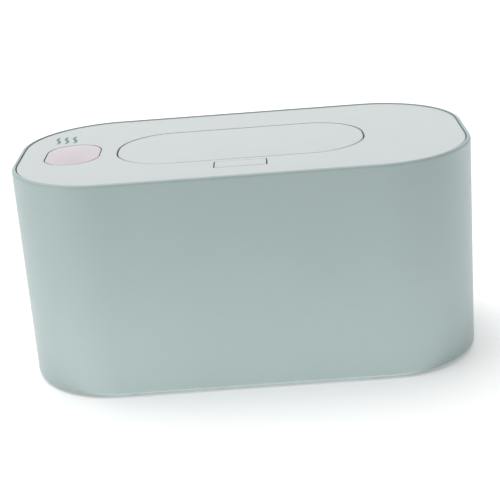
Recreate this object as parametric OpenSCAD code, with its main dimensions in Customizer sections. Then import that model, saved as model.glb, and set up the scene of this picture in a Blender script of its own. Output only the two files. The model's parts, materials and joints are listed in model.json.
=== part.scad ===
// Baby wipe warmer: a drafted casing with a heated tank, closed by a lift-off
// cover that carries a flip lid, its press latch and a power button.
// Millimetres. Z is up from the table, +X along the length, -Y to the front.

/* [Casing] */
// Length over the rim
case_l = 250; // [230:1:300]
// Width over the rim
case_w = 138.6; // [132:0.2:166]
// Height of the casing alone
case_h = 118.4; // [112:0.2:142]
// Corner radius in plan
case_r = 53; // [45:1:64]
// Wall thickness
case_wall = 2.1; // [1.8:0.1:2.6]
// How far each side is drawn in at the bottom
case_draft = 0.6; // [0:0.1:1.2]
// Rounding of the rim's outer edge
rim_round = 1.6; // [0.5:0.1:1.8]
// Rounding of the bottom edge
bottom_round = 1.8; // [0.5:0.1:1.8]

/* [Top cover] */
// Height of the rim above the deck
rim_proud = 0.4; // [0:0.1:1]
// Gap between the rim and the deck
cover_gap = 0.6; // [0.3:0.1:1]
// Thickness of the deck
deck_t = 2.4; // [2:0.1:3]
// Rounding of the deck's edge
deck_round = 0.5; // [0.2:0.1:1]
// Thickness of the skirt
skirt_t = 2; // [1.6:0.1:2.4]
// Depth from the deck to the tank's flange
cover_depth = 13; // [12.6:0.1:16]
// Thickness of the inner mouldings under the deck
liner_t = 1.6; // [1.2:0.1:2]

/* [Flip lid] */
// Length of the lid
lid_l = 136; // [120:1:150]
// Width of the lid
lid_w = 65.2; // [62:0.2:70]
// Corner radius of the lid in plan
lid_r = 30; // [24:1:31]
// Distance of the lid's centre behind the casing's centre
lid_y = -1.9; // [-4:0.1:2]
// Gap round the lid
lid_gap = 0.8; // [0.7:0.05:1.2]
// Thickness of the lid's skin
lid_t = 2.2; // [2.1:0.1:2.6]
// Rounding of the lid's edge
lid_round = 0.7; // [0.4:0.1:1]
// Depth of the well under the lid
well_depth = 7.5; // [7.3:0.1:8]
// Distance of the hinge axis behind the lid's back edge
hinge_back = 4.6; // [4.5:0.1:5.2]
// Radius of the hinge pins
pin_r = 0.6; // [0.5:0.05:0.7]
// Distance of each hinge arm from the middle
hinge_x = 26; // [18:1:32]

/* [Dispensing insert] */
// Length of the insert's raised lip
insert_l = 108; // [90:1:112]
// Width of the insert's raised lip
insert_w = 42; // [36:1:43]
// Height of the lip above the well's floor
lip_h = 1.5; // [1:0.1:1.6]
// Length of the slot that the wipes come through
slot_l = 62; // [50:1:70]
// Width of the slot at its ends
slot_w = 8; // [6:0.5:10]
// Length and width of the slot's wide middle
slot_mid = [24, 16]; // [14:1:30]

/* [Latch] */
// Width of the press tab along the lid
tab_l = 27.2; // [24:0.2:30]
// Depth of the press tab, front to back
tab_w = 10.85; // [10.5:0.05:13]
// Gap at each side of the tab
tab_gap = 0.6; // [0.3:0.1:0.8]
// Gap in front of the tab
tab_front_gap = 0.5; // [0.4:0.05:0.7]
// Deck left between the well and the tab
latch_web = 3.6; // [3.4:0.1:4.5]
// How far the tab turns, in degrees
tab_swing = 6; // [4:0.5:6]
// Thickness of the bolt
bolt_t = 2; // [1.8:0.1:2.2]

/* [Power button] */
// Distance of the button from the casing's middle
button_out = 93.5; // [92:0.5:100]
// Width of the button
button_w = 30; // [22:1:32]
// Length of the button, front to back
button_l = 42; // [34:1:46]
// Gap round the button
button_gap = 0.5; // [0.3:0.1:0.8]
// How far the button travels
button_travel = 0.6; // [0.4:0.1:0.8]
// Radius of the button's stem
stem_r = 2.5; // [2:0.1:3]
// Radius of the switch plunger
plunger_r = 2; // [1.6:0.1:2.4]

/* [Tank] */
// Inside length at the mouth
tank_l = 192; // [160:1:193]
// Inside width at the mouth
tank_w = 108; // [90:1:108]
// Inside depth below the flange
tank_depth = 82; // [60:1:82]
// Inside corner radius in plan
tank_r = 30; // [24:1:34]
// Inside radius between the wall and the floor
tank_floor_r = 8; // [4:1:12]
// Wall thickness
tank_wall = 1.8; // [1.4:0.1:2]
// How far each side is drawn in at the floor
tank_draft = 0.8; // [0:0.1:1.2]
// Distance of the tank's middle to the right of the casing's middle
tank_x = 16; // [12:0.5:16]
// Thickness of the flange
flange_t = 2.4; // [2:0.1:3]
// Thickness of the foam round the tank
wrap_t = 3.5; // [2:0.5:3.5]

/* [Heater] */
// Length of the heat plate
heater_l = 150; // [110:1:152]
// Width of the heat plate
heater_w = 76; // [60:1:80]
// Thickness of the heat plate
heat_plate_t = 1.5; // [1:0.1:2]
// Thickness of the heating film
film_t = 0.8; // [0.5:0.1:1.2]
// Thickness of the insulation pad
pad_t = 6; // [5:0.5:7]

/* [Base] */
// Thickness of the base plate
base_t = 2.5; // [2.2:0.1:3]
// How far the base plate is set up inside the casing
base_inset = 0.5; // [0.2:0.1:1]
// How far the feet stand below the casing
foot_proud = 1.5; // [1:0.1:3]
// Diameter of a foot
foot_d = 14; // [10:1:18]
// Place of the feet, out from the middle
foot_at = [88, 34]; // [20:1:90]
// Radius of a casing screw column
column_r = 3.3; // [3:0.1:3.3]
// Distance of the screw columns from the middle
column_x = 66; // [50:1:70]

/* [Power inlet] */
// Distance of the socket to the left of the middle
inlet_out = 54; // [46:1:54]
// Height of the socket's centre above the table
inlet_z = 16; // [15:0.5:17]
// Diameter of the plug that the socket takes
plug_d = 5.5; // [5:0.5:6]

/* [Clearances] */
// Between pieces that are fixed together
fit = 0.3; // [0.2:0.05:0.4]
// Between a guide and what slides in it
slide = 0.1; // [0.06:0.01:0.15]
// Round a pin that turns
running = 0.05; // [0.03:0.01:0.08]
// Between a stop and what rests against it
rest = 0.05; // [0.02:0.01:0.1]

/* [Hidden] */
$fn = 96;
over = 1; // how far a cut runs past the face it opens
sunk = 0.5; // how far a raised shape runs into what carries it
end_flat = 0.1; // half the straight stretch left in a slot's round end

// Heights
case_z = foot_proud;
rim_z = case_z + case_h;
deck_z = rim_z - rim_proud;
under_deck_z = deck_z - deck_t;
flange_z = deck_z - cover_depth;
flange_under_z = flange_z - flange_t;
tank_floor_z = flange_z - tank_depth;
tank_under_z = tank_floor_z - tank_wall;
film_z = tank_under_z - heat_plate_t - film_t;
pad_z = film_z - pad_t;
base_z = case_z + base_inset;
base_top_z = base_z + base_t;

// Plan of the casing: every concentric outline shares these corner centres
core = [case_l/2 - case_r, case_w/2 - case_r];
function wall_in(z) = case_r - case_wall - case_draft*(rim_z - z)/case_h;
function wall_out(z) = wall_in(z) + case_wall;
deck_r = case_r - case_wall - cover_gap;
skirt_in_r = deck_r - skirt_t;
flange_r = wall_in(flange_under_z) - fit;
base_r = wall_in(base_z) - fit;
liner_r = skirt_in_r - fit;

// Tank, gasket and liner
tank_core = [tank_l/2 - tank_r, tank_w/2 - tank_r];
gasket_w = 2.6;
gasket_off = 4; // from the tank's mouth to the gasket's middle
groove_d = 1.2;
gasket_r = gasket_w/2;
liner_z = flange_z + gasket_r + rest*2;
liner_top_z = liner_z + liner_t;
liner_wall_h = 3.5;
drip_rim_h = 2.8;
drip_rim_gap = 1.2;
stem_hole_r = 6; // in the liner, round the button's stem

// Screws: shank radius, head radius, head height
tank_screw = [1.5, 2.8, 1.6];
tank_screw_sink = 0.2; // its head's top below the flange
base_screw = [1.5, 2.8, 1.7];
base_seat = 1.2; // how deep its head is sunk in the base plate
screw_l = 14;
small_screw = [1.1, 2.1, 1.3];
small_screw_l = 8;
bracket_screw = [1.1, 1.5, 1.3];
bracket_screw_l = 6;

// Screw columns and ribs down the casing's wall
column_wall_gap = 0.2;
column_y = core[1] + wall_in(base_top_z) - column_r - column_wall_gap;
columns = [for (x = [-1, 1], y = [-1, 1]) [x*column_x, y*column_y]];
column_web_w = 1.4*column_r;
column_web_reach = 0.9; // how far the web runs past the column, into the wall
rib_t = 1.6;
rib_d = 4.2;
rib_reach = 1; // how far a rib runs into the wall
long_wall_ribs = [-36, 0, 36];
end_wall_ribs = [-10, 10];

// Lid, its well and hinge
lid_core = [lid_l/2 - lid_r, lid_w/2 - lid_r];
opening_r = lid_r + lid_gap;
well_wall = 1.6;
well_floor_t = 1.8;
well_z = deck_z - well_depth;
lid_under_z = deck_z - lid_t;
lid_back_y = lid_y + lid_w/2;
lid_front_y = lid_y - lid_w/2;
hinge_y = lid_back_y + hinge_back;
knuckle_r = pin_r + 0.75;
hinge_post_r = knuckle_r + 0.3;
hinge_roof = 1.2; // deck left over the arms
roof_gap = 0.15;
hinge_z = deck_z - hinge_roof - roof_gap - knuckle_r;
arm_w = 4;
arm_t = 1.5;
arm_side_gap = 0.2;
arm_clear = 0.3; // round an arm as it swings
pressed = 0.02; // round a pin that is pressed in
leg_front = 0.5; // how far an arm's leg stands forward of the axis
// Each arm bends round the deck's edge, at this distance from the axis
arm_in_r = norm([hinge_back - lid_gap, deck_z - hinge_z]) + arm_clear;
arm_out_r = arm_in_r + arm_t;
post_w = 3;
pin_l = arm_w + 2*arm_side_gap + 2*post_w;
panel_t = 2;
panel_inset = [8, 9.2]; // from the lid's edge to its inner panel
lid_rib_t = 1.4;
insert_r = insert_w/2 - 2;
insert_core = [insert_l/2 - insert_r, insert_w/2 - insert_r];
insert_flange = 2;
insert_t = 1.4;
lip_in = 3;
lip_ease = 0.6;

// Latch: the tab turns on two stubs, its wedge ribs drive the bolt
cut_back_y = lid_y - lid_w/2 - lid_gap - latch_web;
tab_back_gap = 0.25;
tab_back_y = cut_back_y - tab_back_gap;
tab_front_y = tab_back_y - tab_w;
cut_front_y = tab_front_y - tab_front_gap;
tab_pivot_y = cut_back_y - 1.3;
tab_pivot_z = deck_z - 3.6;
tab_t = 2.2;
tab_under_z = deck_z - tab_t;
tab_corner_r = 0.6;
tab_cut_r = 0.8;
tab_ease = 0.3;
stub_r = 0.8;
stub_l = 2;
cheek_t = 2;
cheek_r = 1.5;
cheek_w = 2.5;
bolt_under_z = deck_z - 6.5;
bolt_top_z = bolt_under_z + bolt_t;
bolt_w = 22;
bolt_back_y = cut_back_y + 1.3;
nose_w = 8;
bite_gap = 0.4; // nose to striker, so that each swings clear of the other
wedge_y = tab_pivot_y - 7.3;
wedge_t = 1.6;
wedge_x = [6.3, 9.7];
wedge_side = 0.27; // beside the rib, measured level
wedge_room = 0.3; // at each end of the rib
wedge_lift = 0.2; // its tip above the bolt
wedge_sink = (tab_pivot_y - wedge_y + wedge_t/2)*sin(tab_swing) + 0.2; // its slot's depth
ramp_t = 1.5;
ramp_h = 0.9;
bolt_front_y = wedge_y - 4.5;
latch_spring_y = wedge_y + 0.5;
bracket_t = 1.6;
bracket_top_z = bolt_under_z - slide;
bracket_x = 20;
bracket_screw_x = 18.4;
cup_z = liner_top_z + 0.4;
cup_floor = 0.8;
cup_gap = 0.4;
cup_wall = 1;
bracket_front = 2; // past the bolt's front edge
bracket_back_gap = 0.4;
rail = [1.4, 8.5, 1.2]; // beside the bolt, on the bracket
striker_w = 14;
striker_t = 1.8;

// Button and switch
button_at = [-button_out, lid_y];
button_r = button_w/2 - end_flat;
button_core = [end_flat, button_l/2 - button_r];
cap_t = 2;
cap_wall = 1.8;
cap_h = 4.4;
cap_ease = 0.6;
button_floor_z = deck_z - 7;
button_floor_t = 1.8;
clip_t = 0.8;
clip_r = 5;
stem_end_z = flange_z + 0.7;
plunger_share = 0.5; // of the button's travel; the rest is free play
plunger_z = stem_end_z - button_travel*(1 - plunger_share);
guide_z = flange_z - 8.5;
guide_wall = 2.2;
plunger_foot_r = plunger_r + 1;
board_t = 1.6;
board_z = flange_z - 16.1; // top of the board
switch_size = [6.2, 6.2, 4];
key_r = 1.7;
key_z = board_z + switch_size[2] - 1.2;
plunger_end_z = board_z + switch_size[2] + 1.1;
board_w = 28;
board_l = 54;
board_x = -(button_out + 8.5);
board_post_at = [11, 22];
board_posts = [for (x = [-1, 1], y = [-1, 1]) [board_x + x*board_post_at[0], y*board_post_at[1]]];
post_r = 2.8;

// Springs: mean radius, wire radius, curls
lift_coil = [2, 0.25, 3.5];
latch_coil = [1.9, 0.25, 4.5];
button_coil = [4.6, 0.35, 3.5];
coil_rings = 8;
wire_sides = 6;
lift_at = [0, lid_front_y + 5];

// Power socket: its round flange and the pad behind it are radius, thickness
inlet_face_y = core[1] + wall_out(inlet_z);
inlet_flange = [6.5, 1.3];
inlet_pad = [7, 2];
inlet_pad_y = inlet_face_y - case_wall - inlet_pad[1];
barrel_r = plug_d/2 + 1.2;
socket_depth = 15;
terminal_l = 2.6;
terminal_y = inlet_face_y - socket_depth - terminal_l;

// Leads: points laid by hand from the inlet and the heater to the board
lead_r = 1.4;
lead_sides = 8;
power_route = [[-inlet_out, terminal_y, inlet_z], [-inlet_out, 49.5, inlet_z],
               [-inlet_out, 47.5, inlet_z], [-60, 42, 16], [-80, 39, 16], [-92, 30, 20],
               [-100, 22, 32], [-104, 16, 50], [-105, 14, 68], [-105, 14, 80],
               [-105, 14, 88.8]];
heater_route = [[-50, -10, 18.9], [-62, -10, 18.8], [-78, -11, 17], [-90, -12, 20],
                [-97, -13, 32], [-99, -14, 50], [-100, -14, 68], [-100, -14, 80],
                [-100, -14, 88.8]];

// ---- Shared shapes ----

// Carries an upright profile round a rounded rectangle. c holds the corner
// centres; the profile's x is the distance out from them, its y the height.
module ring_sweep(c) {
  for (q = [[1, 1, 0], [-1, 1, 90], [-1, -1, 180], [1, -1, 270]])
    translate([q[0]*c[0], q[1]*c[1]]) rotate(q[2]) rotate_extrude(angle = 90) children();
  for (turn = [0, 180]) rotate(turn) {
    translate([-c[0], c[1]]) rotate([90, 0, 90]) linear_extrude(2*c[0]) children();
    translate([c[0], c[1]]) rotate([90, 0, 0]) linear_extrude(2*c[1]) children();
  }
}

// A rounded rectangle of corner radius r round the centres c
module plan(c, r) {
  square([2*c[0], 2*(c[1] + r)], center = true);
  square([2*(c[0] + r), 2*c[1]], center = true);
  for (x = [-1, 1], y = [-1, 1]) translate([x*c[0], y*c[1]]) circle(r);
}

// A slot l long and w wide, with round ends
module slot(l, w) {
  r = min(l, w)/2 - end_flat;
  plan([l/2 - r, w/2 - r], r);
}

// A rounded rectangle as a plate from height z, t thick
module plate(c, r, z, t) {
  translate([0, 0, z]) linear_extrude(t) plan(c, r);
}

// A plate whose upper edge is rounded by e
module eased_plate(c, r, z, t, e) {
  ring_sweep(c) difference() {
    translate([0, z]) square([r, t]);
    translate([r, z + t]) corner_cut(e);
  }
  translate([-c[0], -c[1], z]) cube([2*c[0], 2*c[1], t]);
}

// What rounding by e takes off a corner at the origin, solid to its lower left
module corner_cut(e) {
  translate([-e, -e]) difference() {
    square(e + over);
    circle(e);
  }
}

// A screw with its head's top at the origin, pointing down
module screw(s, length, flat = false) {
  translate([0, 0, -length]) cylinder(r = s[0], h = length);
  translate([0, 0, -s[2]]) cylinder(r1 = flat ? s[0] : s[1], r2 = s[1], h = s[2]);
}

// The hole for it: a clear bore, and a seat sunk deep enough for its head
module screw_seat(s, depth, sunk, flat = false) {
  gap = flat ? running : fit;
  translate([0, 0, -depth]) cylinder(r = s[0] + gap, h = depth + over);
  translate([0, 0, -sunk]) cylinder(r1 = (flat ? s[0] : s[1]) + gap, r2 = s[1] + gap, h = sunk);
  cylinder(r = s[1] + gap, h = over);
}

// Straight tube wall
module pipe(outer, inner, h) {
  difference() {
    cylinder(r = outer, h = h);
    translate([0, 0, -over]) cylinder(r = inner, h = h + 2*over);
  }
}

// ---- Wound and led wires ----

function unit(v) = v/norm(v);
function heading(path, i) =
  unit(path[min(i + 1, len(path) - 1)] - path[max(i - 1, 0)]);
function off_axis(v, t) = unit(v - (v*t)*t);

// Side vectors carried along the path with no twist
function side_vectors(path, start) = [
  for (i = 0, s = off_axis(start, heading(path, 0)); i < len(path);
       i = i + 1, s = i < len(path) ? off_axis(s, heading(path, i)) : s) s];

// One unbroken round wire along the path
module wire(path, r, sides, start) {
  side = side_vectors(path, start);
  n = len(path);
  points = [for (i = [0:n - 1]) let (t = heading(path, i), u = side[i], v = cross(t, u))
            for (k = [0:sides - 1]) path[i] + r*(cos(360*k/sides)*u + sin(360*k/sides)*v)];
  walls = [for (i = [0:n - 2], k = [0:sides - 1])
             let (a = i*sides + k, b = i*sides + (k + 1) % sides)
               each [[a, b, a + sides], [b, b + sides, a + sides]]];
  ends = [for (k = [1:sides - 2]) each [[0, k + 1, k],
             [(n - 1)*sides, (n - 1)*sides + k, (n - 1)*sides + k + 1]]];
  polyhedron(points, [for (f = concat(walls, ends)) [f[0], f[2], f[1]]]);
}

// Coil of height h standing on the origin; both ends run straight for one wire
function coil_path(coil, h) =
  let (r = coil[0], w = coil[1], turns = coil[2], steps = round(turns*coil_rings),
       rise = (h - 2*w)/steps,
       curls = [for (i = [0:steps]) let (a = 360*i/coil_rings)
                  [r*cos(a), r*sin(a), w + rise*i]],
       a1 = 360*steps/coil_rings)
  concat([curls[0] + [0, -2*w, 0]], curls,
         [curls[steps] + 2*w*[-sin(a1), cos(a1), 0]]);

// Least gap between the wire and itself, from half a curl on
function least_gap(path, r) =
  min([for (i = [0:len(path) - 1], j = [i + coil_rings/2 + 1:1:len(path) - 1])
         norm(path[i] - path[j])]) - 2*r;

module spring(coil, h, name) {
  path = coil_path(coil, h);
  echo(str(name, " least gap to itself ", least_gap(path, coil[1]), " mm"));
  wire(path, coil[1], wire_sides, [1, 0, 0]);
}

// A smooth curve through the points, steps rings for each stretch
function through(p, steps) = [
  for (i = [0:len(p) - 2]) let (a = p[max(i - 1, 0)], b = p[i], c = p[i + 1],
                               d = p[min(i + 2, len(p) - 1)])
    for (k = [0:steps - 1]) let (t = k/steps)
      0.5*(2*b + (c - a)*t + (2*a - 5*b + 4*c - d)*t*t + (3*b - a - 3*c + d)*t*t*t),
  p[len(p) - 1]];

// ---- Casing and base ----

// Section of the drafted wall, both outer edges rounded
module casing_profile() {
  difference() {
    polygon([[wall_in(case_z), case_z], [wall_out(case_z), case_z],
             [case_r, rim_z], [case_r - case_wall, rim_z]]);
    translate([case_r, rim_z]) corner_cut(rim_round);
    translate([wall_out(case_z), case_z]) mirror([0, 1]) corner_cut(bottom_round);
  }
}

// Column from the base plate to the flange, tied to the wall by a web
module screw_column(at) {
  h = flange_under_z - base_top_z;
  translate([at[0], at[1], base_top_z]) {
    cylinder(r = column_r, h = h);
    mirror([0, at[1] < 0 ? 1 : 0]) translate([-column_web_w/2, 0])
      cube([column_web_w, column_r + column_web_reach, h]);
  }
}

// Ribs that carry the flange, moulded down the inside of the wall
module flange_ribs() {
  h = flange_under_z - base_top_z;
  y = core[1] + wall_in(base_top_z);
  x = core[0] + wall_in(base_top_z);
  for (turn = [0, 180], at = long_wall_ribs) rotate(turn)
    translate([at - rib_t/2, y - rib_d, base_top_z]) cube([rib_t, rib_d + rib_reach, h]);
  for (turn = [0, 180], at = end_wall_ribs) rotate(turn)
    translate([x - rib_d, at - rib_t/2, base_top_z]) cube([rib_d + rib_reach, rib_t, h]);
}

// Puts its child's +Z out of the back wall, at the socket's outer face
module at_inlet() {
  translate([-inlet_out, inlet_face_y, inlet_z]) rotate([-90, 0, 0]) children();
}

module outer_casing() color([0.66, 0.73, 0.72]) difference() {
  union() {
    ring_sweep(core) casing_profile();
    for (at = columns) screw_column(at);
    flange_ribs();
    at_inlet() translate([0, 0, inlet_pad_y - inlet_face_y])
      cylinder(r = inlet_pad[0], h = inlet_pad[1] + case_wall/2);
  }
  for (at = columns) translate([at[0], at[1], base_top_z - over])
    cylinder(r = tank_screw[0] + running, h = flange_under_z - base_top_z + 2*over);
  at_inlet() {
    translate([0, 0, -socket_depth]) cylinder(r = barrel_r + slide, h = socket_depth + over);
    translate([0, 0, -inlet_flange[1] - rest])
      cylinder(r = inlet_flange[0] + fit, h = inlet_flange[1] + rest + over);
  }
}

base_rim_h = 3;
notch_h = base_rim_h + over; // notches in its rim, for the columns and ribs
web_notch_l = 9;
pad_rib_h = pad_z - base_top_z;
pad_rib_inset = 8; // from each end of the pad
pad_rib_w = 56;
long_pad_ribs = [-24, 0, 24];
cross_pad_ribs = [-50, 0, 50];
vent = [26, 2.4];
vent_x = -95;
vent_step = 6.5;
foot_sink = 1; // how deep a foot is set in the plate
foot_ease = 0.8;

// What comes down the casing's wall passes the plate's rim here
module rim_notches() {
  for (at = columns) {
    translate([at[0], at[1], base_top_z]) cylinder(r = column_r + fit, h = notch_h);
    translate([at[0] - column_web_w/2 - fit, at[1] < 0 ? at[1] - web_notch_l : at[1], base_top_z])
      cube([column_web_w + 2*fit, web_notch_l, notch_h]);
  }
  translate([0, 0, base_top_z - fit]) linear_extrude(notch_h) {
    for (at = long_wall_ribs, s = [-1, 1]) translate([at, s*(core[1] + base_r)])
      square([rib_t + 2*fit, 2*(rib_d + fit)], center = true);
    for (at = end_wall_ribs, s = [-1, 1]) translate([s*(core[0] + base_r), at])
      square([2*(rib_d + fit), rib_t + 2*fit], center = true);
  }
}

module base_plate() color([0.8, 0.83, 0.82]) difference() {
  union() {
    plate(core, base_r, base_z, base_t);
    ring_sweep(core) translate([base_r - rib_t, base_top_z]) square([rib_t, base_rim_h]);
    for (y = long_pad_ribs)
      translate([tank_x - heater_l/2 + pad_rib_inset, y - rib_t/2, base_top_z])
        cube([heater_l - 2*pad_rib_inset, rib_t, pad_rib_h]);
    for (x = cross_pad_ribs)
      translate([tank_x + x - rib_t/2, -pad_rib_w/2, base_top_z])
        cube([rib_t, pad_rib_w, pad_rib_h]);
  }
  for (at = columns) translate([at[0], at[1], base_z]) mirror([0, 0, 1])
    screw_seat(base_screw, base_t + over, base_seat);
  rim_notches();
  for (x = [-1, 1], y = [-1, 1]) translate([x*foot_at[0], y*foot_at[1], base_z - over])
    cylinder(d = foot_d + 2*slide, h = over + foot_sink);
  for (i = [-3:3]) translate([vent_x, i*vent_step, base_z - over])
    linear_extrude(base_t + 2*over) slot(vent[0], vent[1]);
}

module base_screws() color("silver") for (at = columns)
  translate([at[0], at[1], base_z]) mirror([0, 0, 1])
    translate([0, 0, base_screw[2] - base_seat]) screw(base_screw, screw_l);

module foot(x, y) color([0.32, 0.34, 0.34]) translate([x*foot_at[0], y*foot_at[1]])
  rotate_extrude() difference() {
    square([foot_d/2, base_z + foot_sink]);
    translate([foot_d/2, 0]) mirror([0, 1]) corner_cut(foot_ease);
  }

module foot_front_left() foot(-1, -1);
module foot_front_right() foot(1, -1);
module foot_back_left() foot(-1, 1);
module foot_back_right() foot(1, 1);

// ---- Tank and heater ----

// Half section of a tub of corner radius r with its floor at z
module tub_section(r, z, round) {
  difference() {
    polygon([[0, z], [r - tank_draft, z], [r, flange_z], [r, flange_z + over],
             [0, flange_z + over]]);
    translate([r - tank_draft, z]) mirror([0, 1]) corner_cut(round);
  }
}

module tub_wall() {
  difference() {
    tub_section(tank_r + tank_wall, tank_under_z, tank_floor_r + tank_wall);
    tub_section(tank_r, tank_floor_z, tank_floor_r);
    translate([0, flange_z]) square([tank_r + tank_wall + over, 2*over]);
  }
}

module inner_tank() color([0.9, 0.92, 0.91]) difference() {
  union() {
    translate([tank_x, 0]) {
      ring_sweep(tank_core) tub_wall();
      translate([-tank_core[0], -tank_core[1], tank_under_z])
        cube([2*tank_core[0], 2*tank_core[1], tank_wall]);
    }
    translate([0, 0, flange_under_z]) linear_extrude(flange_t) difference() {
      plan(core, flange_r);
      translate([tank_x, 0]) plan(tank_core, tank_r);
    }
    translate([button_at[0], button_at[1], guide_z])
      cylinder(r = plunger_r + guide_wall, h = flange_z - guide_z);
    for (at = board_posts) translate([at[0], at[1], board_z])
      cylinder(r = post_r, h = flange_under_z - board_z + sunk);
  }
  translate([tank_x, 0]) ring_sweep(tank_core)
    translate([tank_r + gasket_off - gasket_r, flange_z - groove_d])
      square([gasket_w, groove_d + over]);
  for (at = columns) translate([at[0], at[1], flange_z - tank_screw_sink])
    screw_seat(tank_screw, flange_t + over, tank_screw[2], true);
  translate([button_at[0], button_at[1], guide_z - over])
    cylinder(r = plunger_r + running, h = flange_z - guide_z + 2*over);
  for (at = board_posts) translate([at[0], at[1], board_z - over])
    cylinder(r = small_screw[0] + running, h = small_screw_l + over);
}

module tank_screws() color("silver") for (at = columns)
  translate([at[0], at[1], flange_z - tank_screw_sink]) screw(tank_screw, screw_l, true);

module cover_gasket() color([0.85, 0.86, 0.85]) translate([tank_x, 0])
  ring_sweep(tank_core) translate([tank_r + gasket_off, flange_z]) {
    translate([-gasket_r + rest, -groove_d]) square([gasket_w - 2*rest, groove_d]);
    intersection() {
      circle(gasket_r - rest);
      translate([-gasket_w, 0]) square([2*gasket_w, gasket_w]);
    }
  }

heater_r = 12;
heater_core = [heater_l/2 - heater_r, heater_w/2 - heater_r];
film_r = 8;
fuse_at = [tank_x - 30, 12];
sensor_at = [tank_x - 30, -12];
fuse_r = 2;
fuse_l = 10;
fuse_lead_r = 0.5;
sensor_r = 1.7;
sensor_neck = [0.9, 8]; // radius of its sleeve, and where that ends
pocket = [18, 9, 2*fuse_r + 2*rest];
lead_channel_w = 4.4;

module heat_plate() color([0.78, 0.79, 0.8]) translate([tank_x, 0])
  plate(heater_core, heater_r, film_z + film_t, heat_plate_t);

module heating_film() color([0.75, 0.35, 0.12]) translate([tank_x, 0])
  plate(heater_core, film_r, film_z, film_t);

module thermal_fuse() color([0.9, 0.88, 0.8])
  translate([fuse_at[0], fuse_at[1], film_z - fuse_r - rest]) rotate([0, 90, 0]) {
    cylinder(r = fuse_r, h = fuse_l, center = true);
    cylinder(r = fuse_lead_r, h = pocket[0] - 2, center = true);
  }

module temperature_sensor() color([0.2, 0.2, 0.22])
  translate([sensor_at[0], sensor_at[1], film_z - sensor_r - rest]) rotate([0, 90, 0])
    rotate_extrude() {
      intersection() {
        circle(sensor_r);
        translate([0, -sensor_r]) square([sensor_r, 2*sensor_r]);
      }
      square(sensor_neck);
    }

module insulation_pad() color([0.86, 0.82, 0.72]) difference() {
  translate([tank_x, 0]) plate(heater_core, heater_r, pad_z, pad_t);
  for (at = [fuse_at, sensor_at])
    translate([at[0] - pocket[0]/2, at[1] - pocket[1]/2, film_z - pocket[2]])
      cube([pocket[0], pocket[1], pocket[2] + over]);
  lead_x = tank_x - heater_l/2 - over;
  translate([lead_x, heater_route[0][1] - lead_channel_w/2, film_z - pocket[2]])
    cube([heater_route[0][0] + fit - lead_x, lead_channel_w, pocket[2] + over]);
}

wrap_gap = 4; // above the floor's rounding, and below the flange
wrap_z = [tank_under_z + tank_floor_r + wrap_gap, flange_under_z - wrap_gap];

module insulation_wrap() color([0.88, 0.88, 0.84]) translate([tank_x, 0])
  ring_sweep(tank_core) translate([tank_r + tank_wall + slide, wrap_z[0]])
    square([wrap_t, wrap_z[1] - wrap_z[0]]);

// ---- Electronics ----

chip = [7, 6, 1.4];
chip_at = [6, 14]; // places on the board are from its front left corner
lead_block = [9, 6, 5.5];
lead_block_at = [14, 40];
capacitor = [2.5, 6]; // radius, height
capacitor_at = [8, 34];

module control_board() color([0.1, 0.42, 0.25]) difference() {
  translate([board_x - board_w/2, -board_l/2, board_z - board_t]) union() {
    cube([board_w, board_l, board_t]);
    translate([chip_at[0], chip_at[1], board_t]) cube(chip);
    translate([lead_block_at[0], lead_block_at[1], board_t]) cube(lead_block);
    translate([capacitor_at[0], capacitor_at[1], board_t])
      cylinder(r = capacitor[0], h = capacitor[1]);
  }
  for (at = board_posts) translate([at[0], at[1], board_z - board_t - over])
    cylinder(r = small_screw[0] + fit, h = board_t + 2*over);
}

module board_screws() color("silver") for (at = board_posts)
  translate([at[0], at[1], board_z - board_t]) mirror([0, 0, 1])
    translate([0, 0, small_screw[2]]) screw(small_screw, small_screw_l);

module tact_switch() color([0.15, 0.15, 0.16]) translate([button_at[0], button_at[1], board_z])
  difference() {
    translate([-switch_size[0]/2, -switch_size[1]/2]) cube(switch_size);
    translate([0, 0, key_z - board_z - button_travel]) cylinder(r = key_r + slide, h = switch_size[2]);
  }

light_off = [-9, 7]; // from the switch
light_r = 1.5;
light_h = 3; // up to its round end
light_rim = [1.8, 0.8]; // radius, height

module indicator_light() color([0.95, 0.9, 0.8])
  translate([button_at[0] + light_off[0], button_at[1] + light_off[1], board_z]) {
    cylinder(r = light_r, h = light_h);
    translate([0, 0, light_h]) sphere(r = light_r);
    cylinder(r = light_rim[0], h = light_rim[1]);
  }

plug_hole_r = plug_d/2 + 0.4;
plug_hole_depth = 11;
contact_pin = [1.05, 10.4]; // radius, length
terminals = [6, 5];
nut = [6.35, 2.4]; // radius over its corners, thickness

module dc_socket() color([0.12, 0.12, 0.13]) at_inlet() {
  difference() {
    union() {
      translate([0, 0, -inlet_flange[1]]) cylinder(r = inlet_flange[0], h = inlet_flange[1]);
      translate([0, 0, -socket_depth]) cylinder(r = barrel_r, h = socket_depth);
      translate([-terminals[0]/2, -terminals[1]/2, -socket_depth - terminal_l])
        cube([terminals[0], terminals[1], terminal_l + over]);
    }
    translate([0, 0, -plug_hole_depth]) cylinder(r = plug_hole_r, h = plug_hole_depth + over);
  }
  translate([0, 0, -plug_hole_depth - over]) cylinder(r = contact_pin[0], h = contact_pin[1]);
}

module socket_nut() color("silver") at_inlet()
  translate([0, 0, inlet_pad_y - inlet_face_y - nut[1]]) difference() {
    cylinder(r = nut[0], h = nut[1], $fn = 6);
    translate([0, 0, -over]) cylinder(r = barrel_r + running, h = nut[1] + 2*over);
  }

module power_lead() color([0.15, 0.15, 0.15])
  wire(through(power_route, 4), lead_r, lead_sides, [0, 0, 1]);

module heater_lead() color([0.75, 0.7, 0.65])
  wire(through(heater_route, 4), lead_r, lead_sides, [0, 0, 1]);

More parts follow.
